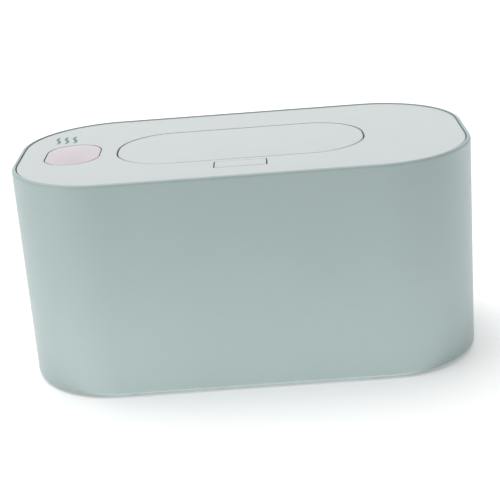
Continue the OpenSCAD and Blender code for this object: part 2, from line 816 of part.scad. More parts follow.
module switch_plunger() color([0.85, 0.85, 0.86]) translate([button_at[0], button_at[1]]) {
  translate([0, 0, plunger_end_z]) cylinder(r = plunger_r, h = plunger_z - plunger_end_z);
  translate([0, 0, plunger_end_z]) cylinder(r = plunger_foot_r, h = guide_z - plunger_end_z - rest);
}

module switch_key() color([0.3, 0.3, 0.32]) translate([button_at[0], button_at[1], key_z])
  cylinder(r = key_r, h = plunger_end_z - key_z);

// ---- Top cover ----

module cover_section() {
  difference() {
    translate([0, under_deck_z]) square([deck_r, deck_t]);
    translate([deck_r, deck_z]) corner_cut(deck_round);
  }
  translate([skirt_in_r, flange_z]) square([skirt_t, under_deck_z - flange_z + deck_t/2]);
}

// Two pairs stand inside the tank's mouth at its right, and one beyond its left end
boss_in = 8.5; // from the tank's long walls
boss_past = [34, 2]; // past the tank's left and right corner centres
boss_by_bracket = 18;
boss_y = tank_w/2 - boss_in;
boss_x = [tank_x - tank_core[0] - boss_past[0], -bracket_x - boss_by_bracket,
          bracket_x + boss_by_bracket, tank_x + tank_core[0] + boss_past[1]];
liner_bosses = [for (x = boss_x, y = [-boss_y, boss_y]) [x, y]];
liner_boss_r = 3.2;
boss_bore_depth = 6.5;
bracket_post_r = 2.5;
bracket_bore_depth = 4.6;
spring_peg_h = 2;

// The well under the lid, down to its floor
module lid_well() {
  translate([0, lid_y]) ring_sweep(lid_core)
    translate([opening_r, well_z - well_floor_t])
      square([well_wall, deck_z - well_z + well_floor_t - deck_t/2]);
  translate([0, lid_y]) plate(lid_core, opening_r + well_wall/2, well_z - well_floor_t, well_floor_t);
}

// Extrudes an outline drawn in y and z from the hinge axis, w wide about x
module at_hinge(x, w) {
  translate([x - w/2, hinge_y, hinge_z]) rotate([90, 0, 90]) linear_extrude(w) children();
}

// Two posts under the deck hold each pin, one on each side of its arm
module hinge_posts() {
  for (x = [-hinge_x, hinge_x], s = [-1, 1])
    at_hinge(x + s*(arm_w/2 + arm_side_gap + post_w/2), post_w) {
      circle(hinge_post_r);
      translate([-hinge_post_r, 0]) square([2*hinge_post_r, under_deck_z - hinge_z + deck_t/2]);
    }
}

// Room for an arm to swing: through the well's wall and up to the deck's roof
module arm_room() {
  reach = arm_out_r + arm_clear;
  for (x = [-hinge_x, hinge_x]) at_hinge(x, arm_w + 2*arm_side_gap) intersection() {
    circle(reach);
    translate([-reach, -reach]) square(reach + knuckle_r + roof_gap);
  }
}

module button_well() translate([button_at[0], button_at[1]]) {
  ring_sweep(button_core)
    translate([button_r + button_gap, button_floor_z - button_floor_t])
      square([well_wall, deck_z - button_floor_z + button_floor_t - deck_t/2]);
  plate(button_core, button_r + button_gap + well_wall/2, button_floor_z - button_floor_t,
        button_floor_t);
}

bearing = [1.8, 4.6]; // thickness, width
bearing_out = 1; // from the tab's end
bearing_below = 1.7; // below the stubs' axis

module tab_bearings() {
  for (s = [-1, 1]) translate([s*(tab_l/2 + bearing_out + bearing[0]/2), tab_pivot_y, 0])
    translate([-bearing[0]/2, -bearing[1]/2, tab_pivot_z - bearing_below])
      cube([bearing[0], bearing[1], under_deck_z - tab_pivot_z + bearing_below + sunk]);
}

module top_cover() color([0.85, 0.88, 0.87]) difference() {
  union() {
    difference() {
      union() {
        ring_sweep(core) cover_section();
        translate([-core[0], -core[1], under_deck_z]) cube([2*core[0], 2*core[1], deck_t]);
      }
      translate([0, lid_y]) plate(lid_core, opening_r, well_z, well_depth + over);
      translate([button_at[0], button_at[1]])
        plate(button_core, button_r + button_gap, button_floor_z, deck_z - button_floor_z + over);
    }
    lid_well();
    hinge_posts();
    translate([lift_at[0], lift_at[1], well_z - well_floor_t/2])
      cylinder(r = lift_coil[0] - lift_coil[1] - fit, h = spring_peg_h + well_floor_t/2);
    button_well();
    tab_bearings();
    for (at = liner_bosses) translate([at[0], at[1], liner_top_z])
      cylinder(r = liner_boss_r, h = under_deck_z - liner_top_z + deck_t/2);
    for (s = [-1, 1]) translate([s*bracket_screw_x, latch_spring_y, bracket_top_z])
      cylinder(r = bracket_post_r, h = under_deck_z - bracket_top_z + deck_t/2);
  }
  translate([0, (cut_front_y + cut_back_y)/2, under_deck_z - over]) linear_extrude(deck_t + 2*over)
    plan([tab_l/2 + tab_gap - tab_cut_r, (cut_back_y - cut_front_y)/2 - tab_cut_r], tab_cut_r);
  translate([0, tab_pivot_y, tab_pivot_z]) rotate([0, 90, 0])
    cylinder(r = stub_r + running, h = tab_l + 2*(bearing_out + bearing[0] + over), center = true);
  arm_room();
  for (x = [-hinge_x, hinge_x]) at_hinge(x, pin_l + 2) circle(pin_r + pressed);
  translate([0, lid_y]) plate(insert_core, insert_r, well_z - well_floor_t - over, 2*over + well_floor_t);
  translate([-nose_w/2 - fit, lid_front_y - lid_gap - well_wall - over, bolt_under_z - 2*slide])
    cube([nose_w + 2*fit, well_wall + 2*over, bolt_t + 4*slide]);
  translate([button_at[0], button_at[1], button_floor_z - button_floor_t - over])
    cylinder(r = stem_r + slide, h = button_floor_t + 2*over);
  for (at = liner_bosses) translate([at[0], at[1], liner_top_z - over])
    cylinder(r = small_screw[0] + running, h = boss_bore_depth + over);
  for (s = [-1, 1]) translate([s*bracket_screw_x, latch_spring_y, bracket_top_z - over])
    cylinder(r = bracket_screw[0] + running, h = bracket_bore_depth + over);
}

module cover_liner() color([0.88, 0.9, 0.89]) difference() {
  union() {
    plate(core, liner_r, liner_z, liner_t);
    ring_sweep(core) translate([liner_r - liner_t, liner_z]) square([liner_t, liner_t + liner_wall_h]);
    translate([tank_x, 0]) ring_sweep(tank_core)
      translate([tank_r - drip_rim_gap - liner_t, liner_z - drip_rim_h])
        square([liner_t, drip_rim_h + liner_t/2]);
  }
  translate([0, lid_y]) plate(insert_core, insert_r, liner_z - over, liner_t + 2*over);
  translate([button_at[0], button_at[1], liner_z - over]) cylinder(r = stem_hole_r, h = liner_t + 2*over);
  for (at = liner_bosses) translate([at[0], at[1], liner_z - over])
    cylinder(r = small_screw[0] + fit, h = liner_t + 2*over);
}

module liner_screws() color("silver") for (at = liner_bosses)
  translate([at[0], at[1], liner_z]) mirror([0, 0, 1]) translate([0, 0, small_screw[2]])
    screw(small_screw, small_screw_l);

// Soft insert: a raised lip on the well's floor, a skirt through it and the slot
module dispensing_insert() color([0.8, 0.84, 0.83]) translate([0, lid_y]) difference() {
  union() {
    ring_sweep(insert_core) translate([insert_r - slide - insert_t, liner_z])
      square([insert_t, well_z - liner_z + sunk]);
    ring_sweep(insert_core) difference() {
      translate([insert_r - lip_in, well_z]) square([lip_in + insert_flange, lip_h]);
      translate([insert_r + insert_flange, well_z + lip_h]) corner_cut(lip_ease);
    }
    plate(insert_core, insert_r - slide, well_z - insert_t, insert_t);
  }
  translate([0, 0, well_z - insert_t - over]) linear_extrude(insert_t + 2*over) {
    slot(slot_l, slot_w);
    slot(slot_mid[0], slot_mid[1]);
  }
}

module hinge_pins() color("silver") for (x = [-hinge_x, hinge_x]) at_hinge(x, pin_l) circle(pin_r);

module lift_spring() color("silver") translate([lift_at[0], lift_at[1], well_z])
  spring(lift_coil, lid_under_z - well_z - rest, "lift spring");

// Carries the bolt under the deck and holds the spring's cup
module latch_bracket() color([0.7, 0.72, 0.72]) difference() {
  union() {
    translate([-bracket_x, bolt_front_y - bracket_front, bracket_top_z - bracket_t])
      cube([2*bracket_x, bolt_back_y - bracket_back_gap - bolt_front_y + bracket_front,
            bracket_t]);
    translate([0, latch_spring_y, cup_z])
      cylinder(r = latch_coil[0] + latch_coil[1] + cup_gap + cup_wall, h = bracket_top_z - cup_z);
    for (s = [-1, 1]) translate([s*(bolt_w/2 + slide + rail[0]/2) - rail[0]/2,
                                 bolt_front_y - bracket_front, bracket_top_z - sunk])
      cube([rail[0], rail[1], rail[2] + sunk]);
  }
  translate([0, latch_spring_y, cup_z + cup_floor])
    cylinder(r = latch_coil[0] + latch_coil[1] + cup_gap, h = bracket_top_z - cup_z);
  for (s = [-1, 1]) translate([s*bracket_screw_x, latch_spring_y, bracket_top_z - bracket_t - over])
    cylinder(r = bracket_screw[0] + fit, h = bracket_t + 2*over);
}

module bracket_screws() color("silver") for (s = [-1, 1])
  translate([s*bracket_screw_x, latch_spring_y, bracket_top_z - bracket_t]) mirror([0, 0, 1])
    translate([0, 0, bracket_screw[2]]) screw(bracket_screw, bracket_screw_l);

module latch_spring() color("silver") translate([0, latch_spring_y, cup_z + cup_floor])
  spring(latch_coil, tab_under_z - cup_z - cup_floor - rest, "latch spring");

// ---- Flip lid ----

panel_r = 20;
panel_core = [lid_l/2 - panel_inset[0] - panel_r, lid_w/2 - panel_inset[1] - panel_r];
striker_in = 0.3; // from the lid's front edge
striker_below = 0.6; // below the bolt
window_side = 0.5; // beside the bolt's nose
window_z = [0.1, 0.7]; // below and above the nose
seal_r = insert_r - 1;
seal_foot = 3;
seal_lip = 2;
seal_sink = 1; // how deep its foot is set in the panel
seal_shoulder = 0.2;

// Outline of a bent arm: its knuckle, a leg down from it and a quarter ring
// that comes up in front of the deck's edge to the lid
module hinge_arm() {
  circle(knuckle_r);
  translate([-leg_front, -arm_in_r - arm_t/2]) square([arm_t, arm_in_r + arm_t/2]);
  difference() {
    intersection() {
      circle(arm_out_r);
      translate([-arm_out_r, -arm_out_r]) square([arm_out_r + arm_t - leg_front, arm_out_r]);
    }
    circle(arm_in_r);
  }
  translate([-arm_out_r, -over/2]) square([arm_t, lid_under_z - hinge_z + sunk + over/2]);
}

module flip_lid() color([0.85, 0.88, 0.87]) difference() {
  union() {
    translate([0, lid_y]) {
      eased_plate(lid_core, lid_r, lid_under_z, lid_t, lid_round);
      ring_sweep(panel_core) translate([panel_r, lid_under_z - panel_t])
        square([lid_rib_t, panel_t + sunk]);
    }
    for (x = [-hinge_x, hinge_x]) at_hinge(x, arm_w) hinge_arm();
    translate([-striker_w/2, lid_front_y + striker_in, bolt_under_z - striker_below])
      cube([striker_w, striker_t, lid_under_z - bolt_under_z + striker_below + sunk]);
  }
  for (x = [-hinge_x, hinge_x]) at_hinge(x, arm_w + 2) circle(pin_r + running);
  translate([-nose_w/2 - window_side, lid_front_y, bolt_under_z - window_z[0]])
    cube([nose_w + 2*window_side, striker_in + striker_t + over, bolt_t + window_z[0] + window_z[1]]);
}

module lid_inner_panel() color([0.9, 0.92, 0.91]) translate([0, lid_y]) difference() {
  plate(panel_core, panel_r - slide, lid_under_z - panel_t, panel_t);
  ring_sweep(insert_core) translate([seal_r - seal_foot/2, lid_under_z - panel_t - over])
    square([seal_foot, over + seal_sink]);
}

module lid_seal() color([0.8, 0.84, 0.83]) translate([0, lid_y])
  ring_sweep(insert_core) translate([seal_r, 0]) {
    translate([rest - seal_foot/2, lid_under_z - panel_t - seal_shoulder])
      square([seal_foot - 2*rest, seal_sink + seal_shoulder]);
    translate([-seal_lip/2, well_z + lip_h + rest])
      square([seal_lip, lid_under_z - panel_t - well_z - lip_h - rest]);
  }

// ---- Latch ----

// Section of a slanted rib, its middle at wedge_y at the pivot's height
module slanted(off, t, z0, z1) {
  y0 = wedge_y - (z0 - tab_pivot_z) + off;
  y1 = wedge_y - (z1 - tab_pivot_z) + off;
  polygon([[y0 - t/2, z0], [y0 + t/2, z0], [y1 + t/2, z1], [y1 - t/2, z1]]);
}

// Places an outline drawn in y and z on both sides, between x0 and x1
module both_sides(x0, x1) {
  for (s = [0, 1]) mirror([s, 0, 0]) translate([x0, 0]) rotate([90, 0, 90])
    linear_extrude(x1 - x0) children();
}

module latch_tab() color([0.85, 0.88, 0.87]) {
  translate([0, (tab_front_y + tab_back_y)/2])
    eased_plate([tab_l/2 - tab_corner_r, tab_w/2 - tab_corner_r], tab_corner_r, tab_under_z,
                tab_t, tab_ease);
  both_sides(tab_l/2 - cheek_t, tab_l/2) {
    translate([tab_pivot_y, tab_pivot_z]) circle(cheek_r);
    translate([tab_pivot_y - cheek_r, tab_pivot_z]) square([cheek_w, tab_under_z - tab_pivot_z + sunk]);
  }
  both_sides(tab_l/2 - sunk, tab_l/2 + stub_l)
    translate([tab_pivot_y, tab_pivot_z]) circle(stub_r);
  both_sides(wedge_x[0], wedge_x[1]) slanted(0, wedge_t, bolt_top_z + wedge_lift, tab_under_z + wedge_lift);
}

spring_window = 2*latch_coil[0] + 3;
window_ahead = 0.3; // its middle in front of the spring's, as the bolt only slides back

module latch_bolt() color([0.7, 0.72, 0.72]) {
  difference() {
    translate([-bolt_w/2, bolt_front_y, bolt_under_z])
      cube([bolt_w, bolt_back_y - bolt_front_y, bolt_t]);
    translate([-spring_window/2, latch_spring_y - spring_window/2 - window_ahead, bolt_under_z - over])
      cube([spring_window, spring_window, bolt_t + 2*over]);
    both_sides(wedge_x[0] - wedge_room, wedge_x[1] + wedge_room)
      slanted(0, wedge_t + 2*wedge_side, bolt_top_z - wedge_sink, bolt_top_z + over);
  }
  translate([-nose_w/2, bolt_back_y - over, bolt_under_z])
    cube([nose_w, lid_front_y - bite_gap - bolt_back_y + over, bolt_t]);
  for (s = [-1, 1]) both_sides(wedge_x[0] - wedge_room, wedge_x[1] + wedge_room)
    slanted(s*(wedge_t/2 + wedge_side + ramp_t/2), ramp_t, bolt_top_z - sunk/2, bolt_top_z + ramp_h);
}

// ---- Power button ----

module power_button() color([0.84, 0.81, 0.83]) translate([button_at[0], button_at[1]]) {
  eased_plate(button_core, button_r, deck_z - cap_t, cap_t, cap_ease);
  ring_sweep(button_core) translate([button_r - cap_wall, deck_z - cap_h])
    square([cap_wall, cap_h - cap_t/2]);
  translate([0, 0, stem_end_z]) cylinder(r = stem_r, h = deck_z - cap_t/2 - stem_end_z);
}

module button_spring() color("silver") translate([button_at[0], button_at[1], button_floor_z])
  spring(button_coil, deck_z - cap_t - button_floor_z - rest, "button spring");

module button_clip() color("silver")
  translate([button_at[0], button_at[1], button_floor_z - button_floor_t - clip_t - rest])
    pipe(clip_r, stem_r, clip_t);

outer_casing();
base_plate();
base_screws();
foot_front_left();
foot_front_right();
foot_back_left();
foot_back_right();
inner_tank();
tank_screws();
cover_gasket();
heat_plate();
heating_film();
thermal_fuse();
temperature_sensor();
insulation_pad();
insulation_wrap();
control_board();
board_screws();
tact_switch();
indicator_light();
dc_socket();
socket_nut();
power_lead();
heater_lead();
switch_plunger();
switch_key();
top_cover();
cover_liner();
liner_screws();
dispensing_insert();
hinge_pins();
lift_spring();
latch_bracket();
bracket_screws();
latch_spring();
flip_lid();
lid_inner_panel();
lid_seal();
latch_tab();
latch_bolt();
power_button();
button_spring();
button_clip();
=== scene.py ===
import json
import math

import bmesh
import bpy
from mathutils import Matrix, Vector


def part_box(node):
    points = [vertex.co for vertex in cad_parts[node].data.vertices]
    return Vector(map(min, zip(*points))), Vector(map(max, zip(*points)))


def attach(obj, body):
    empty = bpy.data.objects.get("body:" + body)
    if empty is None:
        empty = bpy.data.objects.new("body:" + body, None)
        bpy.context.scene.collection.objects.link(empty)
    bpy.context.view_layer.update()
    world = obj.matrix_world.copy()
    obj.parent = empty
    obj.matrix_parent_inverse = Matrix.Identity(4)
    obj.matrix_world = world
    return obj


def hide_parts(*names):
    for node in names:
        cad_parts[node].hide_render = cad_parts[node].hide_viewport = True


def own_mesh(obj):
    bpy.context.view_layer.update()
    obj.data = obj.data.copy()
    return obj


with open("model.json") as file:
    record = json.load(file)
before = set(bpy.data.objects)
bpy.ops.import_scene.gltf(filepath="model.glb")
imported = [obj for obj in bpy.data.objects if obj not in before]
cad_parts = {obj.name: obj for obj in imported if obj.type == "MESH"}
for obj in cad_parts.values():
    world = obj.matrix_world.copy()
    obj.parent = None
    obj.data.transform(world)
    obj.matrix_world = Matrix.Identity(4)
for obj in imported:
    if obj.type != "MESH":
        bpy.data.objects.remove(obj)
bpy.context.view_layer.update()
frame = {"nodes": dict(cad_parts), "record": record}
nodes = frame["nodes"]
scene = bpy.context.scene
mm = 0.001


# ---- Studio ----
# A plain white table, itself a little luminous, under a wide soft sun, with a card of
# light behind it and one at each side, and a low strip of light in front.
# The camera is a long lens in front, a little above the deck and slightly tilted.
view_target = Vector((0, 0, 60.7*mm))
view_distance = 764.2*mm
view_pitch = math.radians(18.78)
view_yaw = math.radians(-1.15)
view_roll = math.radians(4.51)
view_lens = 96.3
view_shift = (0.00354, -0.0179)


def set_camera():
    """Aims the camera at the middle of the casing."""
    right = Vector((math.cos(view_yaw), -math.sin(view_yaw), 0))
    ahead = Vector((math.sin(view_yaw)*math.cos(view_pitch),
                    math.cos(view_yaw)*math.cos(view_pitch), -math.sin(view_pitch)))
    above = right.cross(ahead)
    camera = bpy.data.cameras.new("camera")
    camera.lens = view_lens
    camera.shift_x, camera.shift_y = view_shift
    camera.clip_start = 0.05
    stand = bpy.data.objects.new("camera", camera)
    turned = Matrix((math.cos(view_roll)*right - math.sin(view_roll)*above,
                     math.sin(view_roll)*right + math.cos(view_roll)*above,
                     -ahead)).transposed().to_4x4()
    turned.translation = view_target - view_distance*ahead
    stand.matrix_world = turned
    scene.collection.objects.link(stand)
    scene.camera = stand


def set_light(name, size, spot, aim, power, kind="AREA"):
    """A soft light at a spot, facing aim; the camera doesn't see it."""
    light = bpy.data.lights.new(name, kind)
    light.energy = power
    if kind == "SUN":
        light.angle = size
    else:
        light.shape = "RECTANGLE"
        light.size, light.size_y = size
    lamp = bpy.data.objects.new(name, light)
    lamp.location = spot
    lamp.rotation_euler = (Vector(spot) - Vector(aim)).to_track_quat("Z", "Y").to_euler()
    lamp.visible_camera = False
    scene.collection.objects.link(lamp)


def feed(tree, node, inputs):
    """Sets a node's inputs. Each is a value, a socket or a node, whose first output is
    meant; an input that joins several has a list."""
    for key, given in inputs.items():
        for source in given if isinstance(given, list) else [given]:
            if isinstance(source, bpy.types.Node):
                source = source.outputs[0]
            if isinstance(source, bpy.types.NodeSocket):
                tree.links.new(source, node.inputs[key])
            else:
                node.inputs[key].default_value = source


def place(tree, kind, inputs={}, **settings):
    """Adds a node with its settings and inputs."""
    node = tree.nodes.new(kind)
    for key, value in settings.items():
        setattr(node, key, value)
    feed(tree, node, inputs)
    return node


def object_space(tree):
    """Object coordinates, so that a pattern keeps its place on its piece."""
    return place(tree, "ShaderNodeTexCoord").outputs["Object"]


def noise(tree, where, scale, **more):
    """Noise of this scale; its other inputs go by their names."""
    return place(tree, "ShaderNodeTexNoise", {"Vector": where, "Scale": scale, **more})


def spread(tree, factor, low, high):
    """Stretches a factor to run from low to high."""
    return place(tree, "ShaderNodeMapRange", {"Value": factor, "To Min": low, "To Max": high})


def new_material(name):
    """A material and its node tree."""
    material = bpy.data.materials.new(name)
    material.use_nodes = True
    return material, material.node_tree


def new_piece(name, vertices, edges=(), faces=(), finish=None):
    """An object at the origin with this mesh."""
    mesh = bpy.data.meshes.new(name)
    mesh.from_pydata(vertices, edges, faces)
    if finish:
        mesh.materials.append(finish)
    piece = bpy.data.objects.new(name, mesh)
    scene.collection.objects.link(piece)
    return piece


def lay_table():
    """The table top, plain and pale, wide enough to fill the view and lit from within."""
    half = 8
    paper, tree = new_material("table_white")
    mottle = noise(tree, object_space(tree), 3.0)
    feed(tree, tree.nodes["Principled BSDF"],
         {"Base Color": spread(tree, mottle, 0.93, 0.96), "Roughness": 0.9,
          "Specular IOR Level": 0.1, "Emission Color": (1, 1, 1, 1), "Emission Strength": 0.2})
    new_piece("table", [(-half, -half, 0), (half, -half, 0), (half, half, 0),
                                 (-half, half, 0)], (), [(0, 1, 2, 3)], paper)


set_camera()
lay_table()
scene.view_settings.view_transform = "Standard"
scene.world = bpy.data.worlds.new("white_room")
scene.world.use_nodes = True
room = scene.world.node_tree
feed(room, room.nodes["Background"], {"Color": (1, 1, 1, 1), "Strength": 0.28})
set_light("overhead", math.radians(64), (-0.25, 0.24, 1.0), (0, 0, 0), 2.45, "SUN")
set_light("back_card", (3.0, 0.8), (0, 1.6, 0.6), (0, 0, 0.1), 6)
set_light("front_glow", (0.44, 0.12), (0.0, -0.126, 0.001), (0.0, -0.126, 1.0), 0.1)
set_light("left_card", (0.3, 0.4), (-0.6, -0.35, 0.15), (-0.1, 0, 0.06), 0.55)
set_light("right_card", (0.3, 0.2), (0.6, 0.2, 0.1), (0.1, 0, 0.05), 0.2)


# ---- Outer casing ----
# One tall drafted shell of mint green ABS, with a satin spark-eroded skin. Its colour is painted
# shade:
# it is set darker than the cover's, though both are the same mint. Ribs and screw columns
# down its inside carry the tank's flange; the socket goes in its back.
body_of = {node: body for body, held in frame["record"]["behaviour"]["bodies"].items()
           for node in held}

casing_low, casing_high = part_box("outer_casing")
casing_corner = 53*mm
casing_wall = 2.1*mm
casing_draft = 0.6*mm
casing_core = (casing_high.x - casing_corner, casing_high.y - casing_corner)
rim_round, rim_inner_round = 1.6*mm, 0.25*mm
bottom_round, bottom_inner_round = 1.8*mm, 0.3*mm
corner_steps = 32
sharp_angle = math.radians(35)
weld = 0.002*mm


def stands_for(piece, *held):
    """The piece replaces these CAD nodes, which are hidden, and moves with their body."""
    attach(piece, body_of[held[0]])
    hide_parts(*held)
    return piece


def arc(x, y, radius, start, end, steps=6):
    """Points along an arc, its angles in degrees."""
    turns = [math.radians(start + (end - start)*i/steps) for i in range(steps + 1)]
    return [(x + radius*math.cos(a), y + radius*math.sin(a)) for a in turns]


def new_tree(name, **inputs):
    """An empty Geometry Nodes tree with named inputs, and the outputs of its input node."""
    tree = bpy.data.node_groups.new(name, "GeometryNodeTree")
    tree.is_modifier = True
    tree.interface.new_socket("Geometry", in_out="OUTPUT", socket_type="NodeSocketGeometry")
    tree.interface.new_socket("Base", in_out="INPUT", socket_type="NodeSocketGeometry")
    for label, kind in {**inputs, "Finish": "Material"}.items():
        tree.interface.new_socket(label, in_out="INPUT", socket_type="NodeSocket" + kind)
    return tree, place(tree, "NodeGroupInput").outputs


def end_tree(tree, given, geometry):
    """Ends a tree in plain, finished geometry."""
    real = place(tree, "GeometryNodeRealizeInstances", {"Geometry": geometry})
    done = place(tree, "GeometryNodeSetMaterial", {"Geometry": real, "Material": given["Finish"]})
    place(tree, "NodeGroupOutput", {"Geometry": done})
    return tree


def baked(piece):
    """Turns a piece's modifiers into plain mesh."""
    graph = bpy.context.evaluated_depsgraph_get()
    mesh = bpy.data.meshes.new_from_object(piece.evaluated_get(graph))
    piece.modifiers.clear()
    piece.data = mesh
    return mesh


def smoothed(mesh):
    """Shades a mesh smooth, but for its sharp edges."""
    mesh.shade_smooth()
    mesh.set_sharp_from_angle(angle=sharp_angle)


def close_up(shape, mesh, turned=Matrix()):
    """Closes a shape's seams and poles, turns its faces outwards and makes it the mesh."""
    bmesh.ops.remove_doubles(shape, verts=shape.verts, dist=weld)
    bmesh.ops.recalc_face_normals(shape, faces=shape.faces)
    shape.transform(turned)
    shape.to_mesh(mesh)
    shape.free()
    smoothed(mesh)


def settle(piece):
    """Bakes a piece and closes its mesh up."""
    mesh = baked(piece)
    shape = bmesh.new()
    shape.from_mesh(mesh)
    close_up(shape, mesh)
    return piece


def grown(piece, tree, **inputs):
    """Runs a tree on a piece and keeps the result as its mesh."""
    modifier = piece.modifiers.new(tree.name, "NODES")
    modifier.node_group = tree
    for item in tree.interface.items_tree:
        if item.in_out == "INPUT" and item.name.lower() in inputs:
            modifier[item.identifier] = inputs[item.name.lower()]
    return settle(piece)


def plan_sweep_tree():
    """Carries the base's outline round a rounded rectangle. The outline's x is the
    distance out from the path, and its y the height, taken downwards."""
    tree, given = new_tree("plan_sweep", Path_Length="Float", Path_Width="Float",
                           Path_Radius="Float", Corner_Steps="Int", Middle="Vector")
    box = place(tree, "GeometryNodeCurvePrimitiveQuadrilateral",
                {"Width": given["Path_Length"], "Height": given["Path_Width"]})
    path = place(tree, "GeometryNodeFilletCurve",
                 {"Curve": box, "Count": given["Corner_Steps"],
                  "Radius": given["Path_Radius"]}, mode="POLY")
    level = place(tree, "GeometryNodeSetCurveNormal", {"Curve": path}, mode="Z_UP")
    outline = place(tree, "GeometryNodeMeshToCurve", {"Mesh": given["Base"]})
    wall = place(tree, "GeometryNodeCurveToMesh", {"Curve": level, "Profile Curve": outline})
    moved = place(tree, "GeometryNodeTransform", {"Geometry": wall,
                                                  "Translation": given["Middle"]})
    return end_tree(tree, given, moved)


plan_sweep = plan_sweep_tree()


def swept_round(name, outline, core, finish, middle=(0, 0)):
    """A closed outline of (distance out from the corner centres, height), carried round."""
    radius = max(x for x, z in outline)
    count = len(outline)
    piece = new_piece(name, [(x - radius, -z, 0) for x, z in outline],
                      [(i, (i + 1) % count) for i in range(count)])
    return grown(piece, plan_sweep, path_length=2*(core[0] + radius),
                 path_width=2*(core[1] + radius), path_radius=radius,
                 corner_steps=corner_steps, middle=(*middle, 0), finish=finish)


def new_finish(name, **inputs):
    """An empty shader group with named inputs, and the outputs of its input node."""
    group = bpy.data.node_groups.new(name, "ShaderNodeTree")
    for label, kind in inputs.items():
        group.interface.new_socket(label, in_out="INPUT", socket_type="NodeSocket" + kind)
    for label, kind in {"Base Color": "Color", "Roughness": "Float", "Normal": "Vector"}.items():
        group.interface.new_socket(label, in_out="OUTPUT", socket_type="NodeSocket" + kind)
    return group, place(group, "NodeGroupInput").outputs


def end_finish(group, colour, roughness, normal):
    """Ends a shader group with what its finish puts out."""
    place(group, "NodeGroupOutput", {"Base Color": colour, "Roughness": roughness,
                                     "Normal": normal})
    return group


def reckon(tree, operation, *terms):
    """A sum, product or other result of one to three terms."""
    return place(tree, "ShaderNodeMath", dict(enumerate(terms)), operation=operation)


def shaded(tree, colour, value):
    """A colour, made lighter or darker by a value about 1."""
    return place(tree, "ShaderNodeHueSaturation", {"Color": colour, "Value": value})


def bumped(tree, height, distance, strength=1.0):
    """A normal that follows a height."""
    return place(tree, "ShaderNodeBump", {"Height": height, "Distance": distance,
                                          "Strength": strength})


def moulded_finish():
    """Shader group: a moulding's slow drift of tone, fine eroded grain and uneven gloss."""
    group, given = new_finish("moulded_finish", Colour="Color", Drift="Float", Gloss="Float",
                              Grain="Float", Depth="Float")
    where = object_space(group)
    flow = noise(group, where, 24.0, Detail=3.0)
    speck = noise(group, where, 1400.0, Detail=1.0)
    centred = reckon(group, "SUBTRACT", reckon(group, "ADD", flow, speck), 1.0)
    drift = reckon(group, "MULTIPLY_ADD", centred, given["Drift"], 1.0)
    patch = noise(group, where, 90.0, Detail=4.0)
    gloss = reckon(group, "MULTIPLY_ADD", patch, 0.12, given["Gloss"])
    pits = noise(group, where, given["Grain"], Detail=2.0)
    return end_finish(group, shaded(group, given["Colour"], drift), gloss,
                      bumped(group, pits, given["Depth"]))


moulded = moulded_finish()


def finish_of(name, group, given, **shader):
    """A material: the group feeds the shader's sockets of the same names, the rest is set."""
    material, tree = new_material(name)
    surface = place(tree, "ShaderNodeGroup", given, node_tree=group)
    feed(tree, tree.nodes["Principled BSDF"],
         {**{socket.name: socket for socket in surface.outputs},
          **{key.replace("_", " "): value for key, value in shader.items()}})
    return material


def plastic(name, colour, gloss=0.38, drift=0.05, grain=2600.0, depth=0.02*mm, **shader):
    """A moulded plastic's finish."""
    return finish_of(name, moulded, {"Colour": (*colour, 1), "Drift": drift, "Gloss": gloss,
                                     "Grain": grain, "Depth": depth}, **shader)


# Painted shade: the same mint as the cover, made darker so that the casing's walls look shaded.
casing_mint_painted_shade = plastic("casing_mint_painted_shade", (0.385, 0.48, 0.474), gloss=0.34)


def casing_outline():
    """Section of the casing's wall, going round outwards from its inner top edge."""
    inner, outer = casing_corner - casing_wall, casing_corner
    top, bottom = casing_high.z, casing_low.z
    return [*arc(inner + rim_inner_round, top - rim_inner_round, rim_inner_round, 180, 90, 3),
            *arc(outer - rim_round, top - rim_round, rim_round, 90, 0, 8),
            *arc(outer - casing_draft - bottom_round, bottom + bottom_round, bottom_round, 0, -90, 8),
            *arc(inner - casing_draft + bottom_inner_round, bottom + bottom_inner_round,
                 bottom_inner_round, -90, -180, 3)]


casing = swept_round("casing_wall", casing_outline(), casing_core, casing_mint_painted_shade)

socket_low, socket_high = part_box("dc_socket")
socket_x = (socket_low.x + socket_high.x)/2
socket_z = (socket_low.z + socket_high.z)/2
socket_face = socket_high.y
socket_flange = (6.5*mm, 1.3*mm)
socket_barrel_r = 3.95*mm
socket_pad = (7*mm, 4.1*mm)
round_steps = 48


def lathe(name, outline, finish, origin=(0, 0, 0), axis=(0, 0, 1), steps=round_steps):
    """Turns an outline of (radius, height) points about an axis through origin. It runs
    from the axis, or closes on itself."""
    piece = new_piece(name, [], finish=finish)
    shape = bmesh.new()
    corners = [shape.verts.new((r, 0, z)) for r, z in outline]
    closed = outline[0][0] > 0
    for a, b in zip(corners, corners[1:] + (corners[:1] if closed else [])):
        shape.edges.new((a, b))
    bmesh.ops.spin(shape, geom=shape.verts[:] + shape.edges[:], axis=(0, 0, 1),
                   cent=(0, 0, 0), angle=2*math.pi, steps=steps)
    turned = Vector((0, 0, 1)).rotation_difference(Vector(axis)).to_matrix().to_4x4()
    close_up(shape, piece.data, Matrix.Translation(origin) @ turned)
    return piece


def cut_with(piece, tool, operation="DIFFERENCE"):
    """Cuts a piece with a tool, or joins them; the tool is used up."""
    modifier = piece.modifiers.new("cut", "BOOLEAN")
    modifier.operation = operation
    modifier.object = tool
    modifier.solver = "EXACT"
    baked(piece)
    bpy.data.objects.remove(tool)
    smoothed(piece.data)


